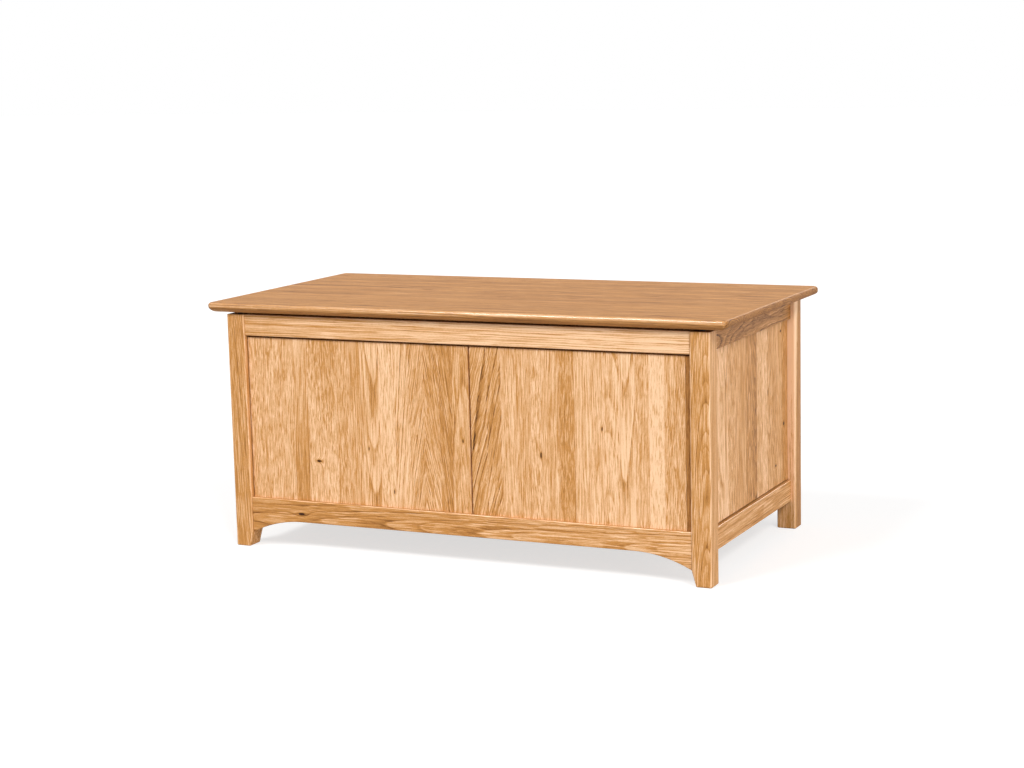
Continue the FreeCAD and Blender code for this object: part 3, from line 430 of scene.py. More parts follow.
def oak_group(oak):
    """Growth rings round a pith, with streaks, dashes, pores and one knot. Its own space is in mm."""
    tree = bpy.data.node_groups.new("Oak", "ShaderNodeTree")
    numbers = "Ring, Tone, Figure, Dash, Wave, Stretch, Seed, End, Matt"
    sockets(tree, "INPUT", Vector="Board, Knot, Knot Size", Float=numbers)
    sockets(tree, "OUTPUT", Color="Color", Float="Roughness, Height")
    g = Graph(tree)
    given = g.add("NodeGroupInput").outputs
    board = g.scaled(given["Board"], TO_MM)
    away = g.scaled(g.vector("SUBTRACT", given["Board"], given["Knot"]), TO_MM)
    offset = g.scaled(SEED_STEP, given["Seed"])
    place = g.vector("ADD", board, offset)

    def sway(pattern, size):
        colour = g.noise(place, *pattern, "Color")
        return g.vector("MULTIPLY", g.vector("SUBTRACT", colour, (0.5, 0.5, 0.5)), size)

    # the log bends along its length, and its grain ripples
    bend = g.scaled(sway(BENDS, BEND_SIZE), given["Wave"])
    ripple = sway(RIPPLES, RIPPLE_SIZE)
    bent = g.vector("ADD", g.vector("ADD", board, bend), g.scaled(ripple, given["Wave"]))

    # rings swell round the knot
    knot_size = g.vector("MAXIMUM", given["Knot Size"], (LEAST_KNOT, LEAST_KNOT, LEAST_KNOT))
    reach = g.vector("LENGTH", g.vector("DIVIDE", away, knot_size))
    knot_width = g.split(given["Knot Size"])[0]
    near = g.math("POWER", g.math("DIVIDE", reach, KNOT_REACH), 2.0)
    swell = g.times(g.math("EXPONENT", g.times(near, -1.0)), g.times(knot_width, KNOT_SWELL))
    ringed = g.vector("ADD", board, g.vector("ADD", bend, g.scaled(ripple, RING_RIPPLE)))
    radius = g.total(g.vector("LENGTH", g.vector("MULTIPLY", ringed, (1.0, 1.0, 0.0))), swell)
    along = g.vector("ADD", g.vector("ADD", bent, offset), g.join(swell))

    # years of unequal width, each one a sharp line of early wood that fades into late wood
    years = g.math("DIVIDE", radius, given["Ring"])
    uneven = g.noise(g.join(years, given["Seed"]), *YEARS)
    years = g.total(years, g.times(uneven, YEAR_STRAY))
    phase = g.math("FRACT", years)
    year = g.add("ShaderNodeTexWhiteNoise", {"W": g.math("FLOOR", years)}, noise_dimensions="1D")
    strength = g.math("MULTIPLY_ADD", year.outputs["Value"], *YEAR_GAIN)
    fall = g.math("EXPONENT", g.times(phase, EARLY_FALL))
    early = g.times(g.ease(phase, 0.0, EARLY_SHARE), fall, strength)

    # streaks run far along the grain, dashes are short and crowd in the early wood, fibres are finest
    streaks = g.less(g.noise(along, *STREAKS), 0.5)
    often, *grit = DASHES
    often = g.vector("MULTIPLY", g.join(1.0, 1.0, given["Stretch"]), often)
    crowd = g.times(g.less(early, EARLY_MEAN), DASH_CROWD)
    dashes = g.ease(g.total(g.noise(along, often, *grit), crowd), *DASH_EDGE)
    fibres = g.less(g.noise(along, *FIBRES), 0.5)

    # the rings' own colour, broken up along the early wood
    rings = g.times(early, g.math("MULTIPLY_ADD", dashes, *RING_GAIN))
    rings = g.times(g.less(rings, RING_MEAN), given["Figure"])

    # open pores, most of them in the early wood
    cells = g.add("ShaderNodeTexVoronoi", {"Vector": g.vector("MULTIPLY", along, PORES), "Scale": 1.0})
    pores = g.ease(cells.outputs["Distance"], *PORE_EDGE, 1.0, 0.0)
    pores = g.times(pores, g.math("MULTIPLY_ADD", early, *PORE_GAIN))

    # slow changes of tone, and the knot's dark middle
    clouds = g.times(g.less(g.noise(place, *CLOUDS), 0.5), CLOUD_SIZE)
    frayed = g.math("MULTIPLY_ADD", fibres, KNOT_FRAY, reach)
    knot = g.total(g.ease(frayed, *KNOT_MIDDLE), g.ease(frayed, *KNOT_HALO))
    knot = g.times(knot, g.math("GREATER_THAN", knot_width, LEAST_KNOT))

    density = g.total(
        given["Tone"],
        g.times(rings, g.math("MULTIPLY_ADD", given["End"], *END_GAIN)),
        g.times(streaks, oak.streak),
        g.times(g.less(dashes, DASH_MEAN), given["Dash"], oak.dash),
        g.times(fibres, oak.fibre),
        g.times(pores, oak.pore),
        clouds,
        knot,
        g.times(given["End"], oak.end_grain),
    )
    tones = (oak.pale, oak.honey, oak.brown, oak.dark)
    last = len(tones) - 1
    ramp = g.add("ShaderNodeValToRGB", {0: g.math("DIVIDE", density, float(last))})
    stops = ramp.color_ramp.elements
    for index in range(1, last):
        stops.new(index / last)
    for stop, tone in zip(stops, tones):
        stop.color = tone

    parts = dict(pores=pores, dashes=dashes, streaks=streaks, fibres=fibres, early=early, end=given["End"])
    rough, height = (
        g.total(*(g.times(parts[name], amount) for name, amount in amounts.items()))
        for amounts in (ROUGHENS, RAISES)
    )
    rough = g.total(rough, given["Matt"], oak.roughness)
    g.add("NodeGroupOutput", {"Color": ramp.outputs["Color"], "Roughness": rough, "Height": height})


def oak_material(name, grain, look=None, matt=0.0, shine=0.1, flats="XYZ", shoulders=None):
    """Oak with its grain along one axis. Without a look, each board's comes from the mesh's attributes. What
    faces none of the flats and does not face down takes a painted highlight, a paler tone, and is smoother
    with a polish coat, as edges are. shoulders are the two places along the grain where a rail meets its
    posts; the tone is painted darker in the last mm before each, as shade in the joint."""
    material, g = blank(bpy.data.materials, name)

    def of(field):
        if look is not None:
            return getattr(look, field)
        node = g.add("ShaderNodeAttribute", attribute_name=field)
        return node.outputs["Vector" if field in LOOK_VECTORS else "Fac"]

    spot = g.add("ShaderNodeTexCoord").outputs
    pith, turn = of("pith"), of("turn")
    board, knot = (
        g.made("ShaderNodeMapping", {
            "Vector": where, "Location": pith, "Rotation": turn,
        }, vector_type="TEXTURE")
        for where in (spot["Object"], of("knot"))
    )
    facing = g.split(g.vector("ABSOLUTE", spot["Normal"]))
    rise = g.split(spot["Normal"])["Z"]
    end = g.ease(facing[grain.upper()], *END_FACING)
    flattest = g.fold("MAXIMUM", [facing[axis] for axis in flats])
    # arris marks rounded edges: a painted highlight there makes them paler, and they also get less roughness
    # and a polish coat
    arris = g.times(g.ease(flattest, *FLAT_FACING, 1.0, 0.0), g.ease(rise, *HIGHLIGHT_AND_POLISH_FACING), g.less(1.0, end))
    fade = g.math("MINIMUM", g.vector("DOT_PRODUCT", board, of("fade")), MOST_FADE)
    tone = g.total(fade, of("tone"), g.times(arris, ARRIS_PAINTED_HIGHLIGHT))
    # Painted shade: the rail's tone darkens over the last mm before each shoulder, for the shade in the
    # joint with the post
    if shoulders:
        low, high = shoulders
        length = g.split(spot["Object"])[grain.upper()]
        joint_shade = g.ease(length, low, low + MM, 1.0, 0.0), g.ease(length, high - MM, high)
        tone = g.total(tone, g.math("MAXIMUM", *joint_shade))
    inputs = {
        "Board": board, "Knot": knot, "Tone": tone, "End": end,
        "Matt": g.math("MULTIPLY_ADD", arris, ARRIS_GLOSS - matt, matt),
    }
    for field in ("knot_size", "ring", "figure", "dash", "wave", "stretch", "seed"):
        inputs[field.replace("_", " ").title()] = of(field)
    wood = g.add("ShaderNodeGroup", inputs, node_tree=bpy.data.node_groups["Oak"]).outputs
    g.principled({
        "Base Color": wood["Color"], "Roughness": wood["Roughness"],
        "Normal": g.bumped(wood["Height"], OAK_BUMP, OAK_BUMP_DEPTH), "Specular IOR Level": shine,
        "Coat Weight": g.times(arris, ARRIS_POLISH), "Coat Roughness": POLISH_ROUGHNESS,
    })
    return material


def sawn(
    rng, grain, middle, face, cut="flat", tone=0.4, fade=0.0, figure=None, ring=None, dash=1.0, wave=1.0,
    stretch=1.0, slope=None, heart=None, sideways=(0.0, 0.0), knot=None, knot_size=NO_KNOT,
):
    """The look of one board about its middle. face points out of its show face; heart is how far the log's
    middle lies across the face and behind it, in mm; slope is how far the log tips towards the face and
    across it, in degrees; sideways is how much browner it grows over a metre across and through the log."""
    sides, depths, strength = CUTS[cut]
    face = Vector(face)
    length = Vector([1.0 if axis == grain else 0.0 for axis in "xyz"])
    across = length.cross(face)
    aside, depth = heart or (rng.uniform(*sides) * rng.choice((-1, 1)), rng.uniform(*depths))
    pith = Vector(middle) + (across * aside - face * depth) * MM
    if slope is None:
        slope = rng.choice((-1, 1)) * rng.uniform(*LEANS), rng.uniform(*DRIFTS)
    lean, drift = (math.radians(angle) for angle in slope)
    turn = [math.radians(angle) for angle in GRAIN_TURNS[grain]]
    if grain == "z":
        turn[0] -= lean * face.y + drift * face.x
        turn[1] += lean * face.x - drift * face.y
    elif grain == "x":
        turn[1] += lean * face.z + drift * face.y
        turn[2] += lean * face.y + drift * face.z
    else:
        turn[0] += lean * face.z + drift * face.x
        turn[2] += lean * face.x + drift * face.z
    return Look(
        tuple(pith), tuple(turn), ring or rng.uniform(*RINGS), tone, (*sideways, fade),
        strength if figure is None else figure, dash, wave, stretch, rng.uniform(*SEEDS),
        tuple(knot or middle), knot_size,
    )


def store_looks(mesh, domain, looks):
    """Writes one look for each point or face of a mesh, as attributes that the oak reads."""
    for field in Look._fields:
        vector = field in LOOK_VECTORS
        attribute = mesh.attributes.new(field, "FLOAT_VECTOR" if vector else "FLOAT", domain)
        for item, look in zip(attribute.data, looks):
            setattr(item, "vector" if vector else "value", getattr(look, field))


# ---- making a piece ----


def new_piece(name, mesh, body, slot, *nodes):
    """Puts a finished mesh in the scene, riding on a body, in place of the nodes it stands for."""
    piece = placed(name, mesh)
    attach(piece, body)
    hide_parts(*nodes)


def grown(name, mesh, tree, values):
    """The plain mesh that a geometry tree makes of a starting mesh, with its named inputs set."""
    seedling = placed(name + "_start", mesh)
    modifier = seedling.modifiers.new("grow", "NODES")
    modifier.node_group = tree
    for socket in tree.interface.items_tree:
        if socket.name in values:
            modifier[socket.identifier] = values[socket.name]
    graph = bpy.context.evaluated_depsgraph_get()
    result = bpy.data.meshes.new_from_object(seedling.evaluated_get(graph))
    result.name = name
    seedling.modifiers.remove(modifier)
    bpy.data.objects.remove(seedling)
    return result


def set_material(node, material):
    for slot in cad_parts[node].material_slots:
        slot.material = material


# ---- panels ----

# The staves of each panel from its left, seen from outside: width in mm, tone, how it was sawn, and whatever
# else its look needs. Their fade is how much browner they grow over a metre upwards.
FRONT_LEFT_STAVES = [
    (36, 0.65, "rift"), (35, 0.65, "quarter"), (29, 0.65, "quarter"),
    (33, 0.85, "quarter", {"fade": -2}), (31, 0.6, "rift", {"fade": 1}),
    (34, 0.7, "rift", {"fade": 2, "wave": 1.4}),
    (29, 0.72, "quarter", {"stretch": 0.6}), (28, 0.8, "rift", {"stretch": 0.6}),
    (40, 0.55, "flat", {"figure": 1.3, "slope": (1.2, 0.3), "heart": (4, 48), "stretch": 0.6}),
    (32, 0.35, "rift"), (33, 0.55, "rift", {"slope": (-2, 6), "figure": 1.6}),
    (32, 0.75, "rift", {"slope": (-2, 9), "figure": 1.8, "wave": 1.5}),
    (33, 0.9, "rift", {"fade": 1, "slope": (-3, -9), "figure": 1.8}),
    (27, 1.15, "quarter", {"slope": (-2, -8), "figure": 1.6}), (37, 0.8, "flat", {"stretch": 0.7}),
]
FRONT_RIGHT_STAVES = [
    (34, 1.0, "rift", {"slope": (-2, 16), "ring": 5.5, "figure": 2.4, "wave": 2.2}),
    (31, 0.95, "rift", {"slope": (-2, 12), "ring": 5.0, "figure": 2.0, "wave": 1.6}),
    (29, 0.55, "rift"), (33, 0.7, "quarter"), (22, 0.55, "rift"), (37, 0.65, "rift"), (32, 1.0, "quarter"),
    (29, 0.52, "quarter"), (30, 0.47, "rift"), (32, 0.43, "flat"),
    (31, 0.4, "flat", {"figure": 1.9, "slope": (1.2, 0.3), "heart": (0, 45), "ring": 5.5, "stretch": 0.6}),
    # The last, narrow dark stave is painted shade, standing for the shadow that the right post throws on the
    # panel.
    (28, 0.6, "quarter"), (30, 0.1, "quarter"), (42, 0.7, "rift"), (9, 1.75, "rift", {"stretch": 0.5}),
]
SIDE_STAVES = [(*row[:3], {"dash": 2.2, "stretch": 0.35, **dict(*row[3:])}) for row in (
    (44, 0.73, "rift"), (33, 0.59, "flat"),
    (22, 0.66, "flat", {"figure": 1.7, "slope": (1.0, 0.2), "heart": (0, 30)}),
    (42, 0.93, "rift", {"wave": 1.4}), (30, 1.0, "quarter"), (34, 1.07, "rift"), (36, 1.34, "flat"),
    (28, 1.61, "flat"), (36, 0.8, "quarter"), (28, 0.59, "rift"), (28, 1.07, "flat"), (30, 1.14, "quarter"),
    (34, 1.0, "rift"), (37, 1.27, "quarter"),
)]

# Knots: how far each lies from the panel's left and above the floor, and half its size across, through and
# along the grain, all in mm.
FRONT_LEFT_KNOTS = (
    (155, 185, (5.5, 8.0, 2.4)), (269, 217, (1.1, 4.0, 4.0)), (323, 134, (1.3, 4.0, 4.0)),
    (476, 244, (1.2, 4.0, 4.0)),
)
FRONT_RIGHT_KNOTS = ((146, 227, (1.8, 6.0, 7.0)), (272, 284, (1.4, 5.0, 4.0)))
SIDE_KNOTS = (
    (385, 147, (1.6, 4.0, 2.0)), (418, 415, (1.6, 4.0, 2.0)), (437, 224, (1.6, 4.0, 3.5)),
)

# Panels without a list draw their staves from these: a width about the nominal one, a tone and a cut.
NOMINAL_STAVE = 33 * MM
PLAIN_WIDTHS = (0.85, 1.15)
PLAIN_TONES = (0.45, 0.5, 0.55, 0.6, 0.7, 0.8, 1.0)
PLAIN_CUTS = ("flat", "flat", "rift", "quarter")

# The tongue's tone, dark as painted shade in the open gaps, and the steps in a stave's rounded edges.
TONGUE_SHADE_TONE = 2.2
EASE_STEPS = 2


def stave_tree():
    """Boards side by side, one on each starting point, and the tongue round them."""
    tree = bpy.data.node_groups.new("Glued Staves", "GeometryNodeTree")
    numbers = "Height, Thickness, Ease, Unevenness, Turn"
    sockets(
        tree, "INPUT", Geometry="Geometry", Float=numbers, Vector="Tongue Size, Tongue Place", Int="Seed",
        Material="Material",
    )
    sockets(tree, "OUTPUT", Geometry="Geometry")
    g = Graph(tree)
    given = g.add("NodeGroupInput").outputs

    def joined(*parts):
        node = g.add("GeometryNodeJoinGeometry")
        for part in parts:
            tree.links.new(part, node.inputs[0])
        return node.outputs[0]

    outline = g.made("GeometryNodeCurvePrimitiveQuadrilateral", {
        "Width": NOMINAL_STAVE, "Height": given["Thickness"],
    })
    eased = g.made("GeometryNodeFilletCurve", {
        "Curve": outline, "Radius": given["Ease"], "Count": EASE_STEPS,
    }, mode="POLY")
    foot = g.made("GeometryNodeFillCurve", {"Curve": eased}, mode="NGONS")
    head = g.made("GeometryNodeExtrudeMesh", {
        "Mesh": foot, "Offset": g.join(z=given["Height"]), "Offset Scale": 1.0, "Individual": False,
    }, mode="FACES")
    under = g.made("GeometryNodeFlipFaces", {"Mesh": foot})
    board = g.made("GeometryNodeMergeByDistance", {"Geometry": joined(under, head), "Distance": WELD})
    width = g.made("GeometryNodeInputNamedAttribute", {"Name": "width"}, data_type="FLOAT")
    sink = g.made("FunctionNodeRandomValue", {
        "Min": (0.0, 0.0, 0.0), "Max": g.join(y=given["Unevenness"]), "Seed": given["Seed"],
    }, data_type="FLOAT_VECTOR")
    turn = g.join(z=given["Turn"])
    sink = g.made("ShaderNodeVectorRotate", {"Vector": sink, "Rotation": turn}, rotation_type="EULER_XYZ")
    points = g.made("GeometryNodeSetPosition", {"Geometry": given["Geometry"], "Offset": sink})
    staves = g.made("GeometryNodeInstanceOnPoints", {
        "Points": points, "Instance": board, "Rotation": turn,
        "Scale": g.join(g.math("DIVIDE", width, NOMINAL_STAVE), 1.0, 1.0),
    })
    tongue = g.made("GeometryNodeMeshCube", {"Size": given["Tongue Size"]})
    tongue = g.made("GeometryNodeTransform", {"Geometry": tongue, "Translation": given["Tongue Place"]})
    # painted shade: the tongue takes a dark tone so that the open gaps read as shaded
    tongue = g.made("GeometryNodeStoreNamedAttribute", {
        "Geometry": tongue, "Name": "tone", "Value": TONGUE_SHADE_TONE,
    }, data_type="FLOAT", domain="POINT")
    staves = g.made("GeometryNodeRealizeInstances", {"Geometry": staves})
    dressed = g.made("GeometryNodeSetMaterial", {
        "Geometry": joined(staves, tongue), "Material": given["Material"],
    })
    g.add("NodeGroupOutput", {"Geometry": dressed})
    return tree


def random_staves(rng, total):
    """Staves for a panel without a list of its own."""
    count = round(total / NOMINAL_STAVE)
    widths = [rng.uniform(*PLAIN_WIDTHS) for _ in range(count)]
    unit = total / sum(widths) / MM
    return [(width * unit, rng.choice(PLAIN_TONES), rng.choice(PLAIN_CUTS)) for width in widths]


def make_panel(name, staves, knots, start, stop, face, low, high, tree, panels, seed):
    """One glued-up panel, from start to stop along its width, left to right as seen from outside."""
    node_low, node_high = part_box(name)
    rng = random.Random(f"{seed} {name}")
    face = Vector(face)
    axis = 1 if face.y else 0
    left = Vector((start, start, 0.0))
    left[axis] = (node_high if face[axis] > 0 else node_low)[axis]
    across = Vector((0.0, 0.0, 0.0))
    across[1 - axis] = math.copysign(1.0, stop - start)
    span = abs(stop - start)
    staves = staves or random_staves(rng, span)
    unit = span / sum(row[0] for row in staves)
    thickness = node_high[axis] - node_low[axis]
    points, widths, looks = [], [], []
    done = 0.0
    for width, tone, cut, *more in staves:
        width *= unit
        surface = left + across * (done + width / 2)
        middle = surface + Vector((0, 0, (low + high) / 2))
        knot, size = None, NO_KNOT
        for aside, height, knot_size in knots:
            if done <= aside * MM < done + width:
                knot = left + across * aside * MM + Vector((0, 0, height * MM))
                size = knot_size
        looks.append(sawn(rng, "z", middle, face, cut, tone, knot=knot, knot_size=size, **dict(*more)))
        points.append(surface - face * thickness / 2 + Vector((0, 0, low)))
        widths.append(width)
        done += width
    mesh = bpy.data.meshes.new(name + "_points")
    mesh.from_pydata(points, [], [])
    for item, width in zip(mesh.attributes.new("width", "FLOAT", "POINT").data, widths):
        item.value = width
    store_looks(mesh, "POINT", looks)

    # the tongue lies behind the open gaps, as wide and as high as the plain panel
    tongue_low, tongue_high = Vector(node_low), Vector(node_high)
    groove = panels.groove_depth
    sides = [left[axis] - face[axis] * depth for depth in (groove, groove + panels.tongue)]
    tongue_low[axis], tongue_high[axis] = min(sides), max(sides)
    result = grown(name + "_staves", mesh, tree, {
        "Height": high - low, "Thickness": thickness, "Ease": panels.ease, "Unevenness": panels.unevenness,
        "Turn": math.atan2(across.y, across.x), "Tongue Size": tongue_high - tongue_low,
        "Tongue Place": (tongue_low + tongue_high) / 2, "Seed": seed,
        "Material": bpy.data.materials["Oak Staves"],
    })
    new_piece(name + "_staves", result, "case", "oak_case", name)


class CHEST_OT_panels(bpy.types.Operator):
    """Build the six panels out of staves"""

    bl_idname = "chest.panels"
    bl_label = "Glued-up Panels"

    def execute(self, context):
        panels = context.scene.chest_panels
        oak_material("Oak Staves", "z")
        shared = stave_tree(), panels, context.scene.chest_oak.seed
        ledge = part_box("front_bottom_rail")[1].z
        cross_head, end_head = (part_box(rail)[0].z for rail in ("front_top_rail", "right_top_rail"))
        cross = ledge + panels.foot_gap, cross_head - panels.head_gap
        side = ledge + panels.end_foot_gap, end_head - panels.end_head_gap
        post_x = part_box("front_right_post")[0].x - panels.side_gap
        post_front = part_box("front_right_post")[1].y + panels.side_gap
        post_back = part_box("rear_right_post")[0].y - panels.side_gap
        joint_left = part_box("front_left_panel")[1].x
        joint_right = joint_left + panels.joint_gap
        for name, staves, knots, start, stop, face, heights in (
            ("front_left_panel", FRONT_LEFT_STAVES, FRONT_LEFT_KNOTS, -post_x, joint_left, FRONT, cross),
            ("front_right_panel", FRONT_RIGHT_STAVES, FRONT_RIGHT_KNOTS, joint_right, post_x, FRONT, cross),
            ("rear_left_panel", None, (), joint_left, -post_x, BACK, cross),
            ("rear_right_panel", None, (), post_x, joint_right, BACK, cross),
            ("right_side_panel", SIDE_STAVES, SIDE_KNOTS, post_front, post_back, RIGHT, side),
            ("left_side_panel", None, (), post_back, post_front, LEFT, side),
        ):
            make_panel(name, staves, knots, start, stop, face, *heights, *shared)
        return {"FINISHED"}


# ---- lid ----

# The lid's boards from the back: width in mm, tone, how it was sawn.
LID_BOARDS = [
    (85, 1.47, "flat"), (34, 1.67, "rift"), (38, 1.47, "flat"), (26, 1.62, "rift"), (30, 1.42, "flat"),
    (26, 1.62, "flat"), (34, 1.47, "flat"), (28, 1.67, "rift"), (36, 1.52, "flat"), (30, 1.67, "flat"),
    (86, 1.47, "quarter"), (34, 1.62, "rift"), (73, 1.47, "flat"),
]

# What they draw by chance in degrees, what their looks share, and the finish of their oak with the painted
# highlight on the nose.
LID_LEANS = (-1.5, 1.5)
LID_DRIFTS = (-0.7, 0.7)
LID_DASH = {"dash": 1.1, "stretch": 0.5}
# Only Z counts as flat, so the lid's rounded and upright edge faces, but not the sweep under them or the
# sawn ends, take the painted highlight and the polish.
LID_FINISH_AND_HIGHLIGHT = {"matt": 0.14, "shine": 0.3, "flats": "Z"}

# Steps in an arc, the rim that holds the flats flat, and the angle from which an edge stays sharp.
ARC_STEPS = 8
EDGE_MARGIN = 0.5 * MM
SHARP_ANGLE = math.radians(35)


def lid_levels(base, top, sizes):
    """Heights up the lid's edge, each with how far the front and the ends, and then the back, are cut in."""
    nose, reach, height, over = sizes.nose_radius, sizes.under_reach, sizes.under_height, sizes.top_radius
    sweep = ((reach - nose) ** 2 + height**2 - nose**2) / (2 * (height - nose))
    meeting = math.atan2(sweep - height, reach - nose)
    levels = []
    for step in range(ARC_STEPS + 1):
        angle = math.pi / 2 + (meeting - math.pi / 2) * step / ARC_STEPS
        levels.append((base + sweep * (1 - math.sin(angle)), reach - sweep * math.cos(angle), 0.0))
    for step in range(1, ARC_STEPS + 1):
        angle = meeting * (1 - step / ARC_STEPS)
        levels.append((base + height - nose * math.sin(angle), nose * (1 - math.cos(angle)), 0.0))
    for step in range(ARC_STEPS + 1):
        angle = math.pi / 2 * step / ARC_STEPS
        cut = over * (1 - math.cos(angle))
        levels.append((top - over * (1 - math.sin(angle)), cut, cut))
    first, last = (
        (up, cut + EDGE_MARGIN, behind + EDGE_MARGIN) for up, cut, behind in (levels[0], levels[-1])
    )
    return [first, *levels, last]


def lid_ring(low, high, radius, cut, behind):
    """Points round the lid from above, its front and ends cut in by cut and its back by behind."""
    points = []
    steps = 2 * ARC_STEPS
    for right, back in ((0, 0), (1, 0), (1, 1), (0, 1)):
        ways = Vector((1 if right else -1, 1 if back else -1))
        edge = Vector((high.x if right else low.x, high.y if back else low.y))
        inset = behind if back else cut
        centre = edge - ways * max(radius, inset)
        for step in range(steps + 1):
            angle = math.pi / 2 * step / steps
            turned = angle if right == back else math.pi / 2 - angle
            spoke = Vector((ways.x * math.cos(turned), ways.y * math.sin(turned)))
            place = centre + spoke * max(radius - inset, 0.0)
            points.append((min(max(place.x, low.x + cut), high.x - cut), place.y))
    return points


def make_lid(sizes, seed):
    """The slab as one shaped solid, divided along the joints of its boards."""
    low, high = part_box("lid_slab")
    shape = bmesh.new()
    rings = []
    for height, cut, behind in lid_levels(low.z, high.z, sizes):
        outline = lid_ring(low, high, sizes.corner_radius, cut, behind)
        rings.append([shape.verts.new((x, y, height)) for x, y in outline])
    count = len(rings[0])
    for lower, upper in zip(rings, rings[1:]):
        for i in range(count):
            j = (i + 1) % count
            shape.faces.new((lower[i], lower[j], upper[j], upper[i]))
    shape.faces.new(reversed(rings[0]))
    shape.faces.new(rings[-1])
    bmesh.ops.remove_doubles(shape, verts=shape.verts, dist=WELD)

    unit = (high.y - low.y) / sum(row[0] for row in LID_BOARDS)
    rng = random.Random(f"{seed} lid")
    joints, looks = [high.y], []
    for width, tone, cut in LID_BOARDS:
        y = joints[-1] - width * unit
        middle = (0.0, (y + joints[-1]) / 2, high.z)
        slope = rng.uniform(*LID_LEANS), rng.uniform(*LID_DRIFTS)
        looks.append(sawn(rng, "x", middle, UP, cut, tone, slope=slope, **LID_DASH))
        joints.append(y)
    for y in joints[1:-1]:
        whole = shape.verts[:] + shape.edges[:] + shape.faces[:]
        bmesh.ops.bisect_plane(shape, geom=whole, plane_co=(0, y, 0), plane_no=BACK)
    mesh = bpy.data.meshes.new("lid_boards")
    bmesh.ops.recalc_face_normals(shape, faces=shape.faces)
    shape.to_mesh(mesh)
    shape.free()
    mesh.shade_smooth()
    mesh.set_sharp_from_angle(angle=SHARP_ANGLE)

    def board_at(y):
        return next((i for i, joint in enumerate(joints[1:]) if y >= joint), len(looks) - 1)

    store_looks(mesh, "FACE", [looks[board_at(face.center.y)] for face in mesh.polygons])
    mesh.materials.append(oak_material("Oak Lid Boards", "x", **LID_FINISH_AND_HIGHLIGHT))
    new_piece("lid_boards", mesh, "lid", "oak_lid", "lid_slab")


class CHEST_OT_lid(bpy.types.Operator):
    """Build the lid out of boards, with its shaped edges"""

    bl_idname = "chest.lid"
    bl_label = "Lid"

    def execute(self, context):
        make_lid(context.scene.chest_lid, context.scene.chest_oak.seed)
        return {"FINISHED"}


# ---- posts, rails and the wood inside ----

# The floor boards' tones. Then each stick: its grain, its show face, how it was sawn, its tone, and whatever
# else its look needs.
FLOOR_TONES = (0.42, 0.54, 0.66, 0.3, 0.42, 0.54)
STICKS = {
    "front_left_post": ("z", FRONT, "rift", 1.05, {"stretch": 0.7}),
    "front_right_post": ("z", FRONT, "flat", 0.97, {
        "slope": (-2.3, 0.2), "heart": (11, 36), "figure": 1.5, "ring": 1.7, "dash": 0.35, "wave": 0.35,
    }),
    "rear_left_post": ("z", BACK, "rift", 0.85, {}),
    "rear_right_post": ("z", RIGHT, "rift", -0.25, {
        "heart": (-22, 40), "slope": (0.1, 0.1), "sideways": (0.0, 120.0), "fade": -4.0,
    }),
    "front_top_rail": ("x", FRONT, "rift", 0.55, {
        "slope": (0.6, 0.2), "stretch": 0.35, "wave": 0.5, "dash": 1.4, "figure": 1.5, "fade": -0.6,
    }),
    "front_bottom_rail": ("x", FRONT, "flat", 1.0, {
        "slope": (1.4, 0.3), "figure": 1.6, "stretch": 0.6, "fade": -0.5,
        "knot": (-0.357, -0.2667, 0.075), "knot_size": (2.6, 8.0, 7.0),
    }),
    "rear_top_rail": ("x", BACK, "rift", 0.75, {"slope": (0.6, 0.2), "stretch": 0.35, "wave": 0.5}),
    "rear_bottom_rail": ("x", BACK, "flat", 0.85, {"slope": (1.2, 0.3), "stretch": 0.5}),
    "right_top_rail": ("y", RIGHT, "flat", 1.65, {"slope": (2.0, 0.6), "figure": 1.5, "wave": 2.6}),
    "left_top_rail": ("y", LEFT, "flat", 0.95, {"slope": (2.0, 0.6)}),
    "right_bottom_rail": ("y", RIGHT, "rift", 1.0, {"slope": (1.0, 0.4), "stretch": 0.5}),
    "left_bottom_rail": ("y", LEFT, "rift", 0.85, {"slope": (1.0, 0.4), "stretch": 0.5}),
    "lid_left_batten": ("y", DOWN, "flat", 0.95, {"slope": (1.0, 0.4)}),
    "lid_right_batten": ("y", DOWN, "rift", 0.85, {"slope": (1.0, 0.4)}),
    **{
        f"{side}_floor_cleat": (grain, face, "rift", 0.95, {"slope": (0.5, 0.2)})
        for side, grain, face in zip(("front", "rear", "left", "right"), "xxyy", (BACK, FRONT, RIGHT, LEFT))
    },
    **{
        f"floor_board_{number}": ("y", UP, "flat", tone, {"slope": (1.2, 0.5)})
        for number, tone in enumerate(FLOOR_TONES, 1)
    },
}


class CHEST_OT_frame(bpy.types.Operator):
    """Finish the posts, rails, battens, cleats and floor boards in oak"""

    bl_idname = "chest.frame"
    bl_label = "Posts and Rails"

    def execute(self, context):
        seed = context.scene.chest_oak.seed
        for node, (grain, face, cut, tone, more) in STICKS.items():
            rng = random.Random(f"{seed} {node}")
            low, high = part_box(node)
            reach = (high - low) / 2
            surface = (low + high) / 2 + Vector([way * size for way, size in zip(face, reach)])
            look = sawn(rng, grain, surface, face, cut, tone, **more)
            shoulders = None
            if node.endswith("_rail"):
                axis = "xyz".index(grain)
                last = "front_right_post" if grain == "x" else "rear_left_post"
                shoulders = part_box("front_left_post")[1][axis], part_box(last)[0][axis]
            name = "Oak " + node.replace("_", " ")
            set_material(node, oak_material(name, grain, look, shoulders=shoulders))
        return {"FINISHED"}


# ---- hardware ----

# Patterns on metal and rubber, in the same terms as the oak's.
BRUSHING = (0.15, 5.0, 5.0), 2.0, 0.6
STAINS = (0.12, 0.12, 0.12), 3.0, 0.6
PIMPLES = (2.5, 2.5, 2.5), 3.0, 0.6
STAIN_SIZE = 0.25

# Each metal: its roughness and the strength of its brushing.
BRASS = (0.38, 0.12)
STEEL = (0.34, 0.1)

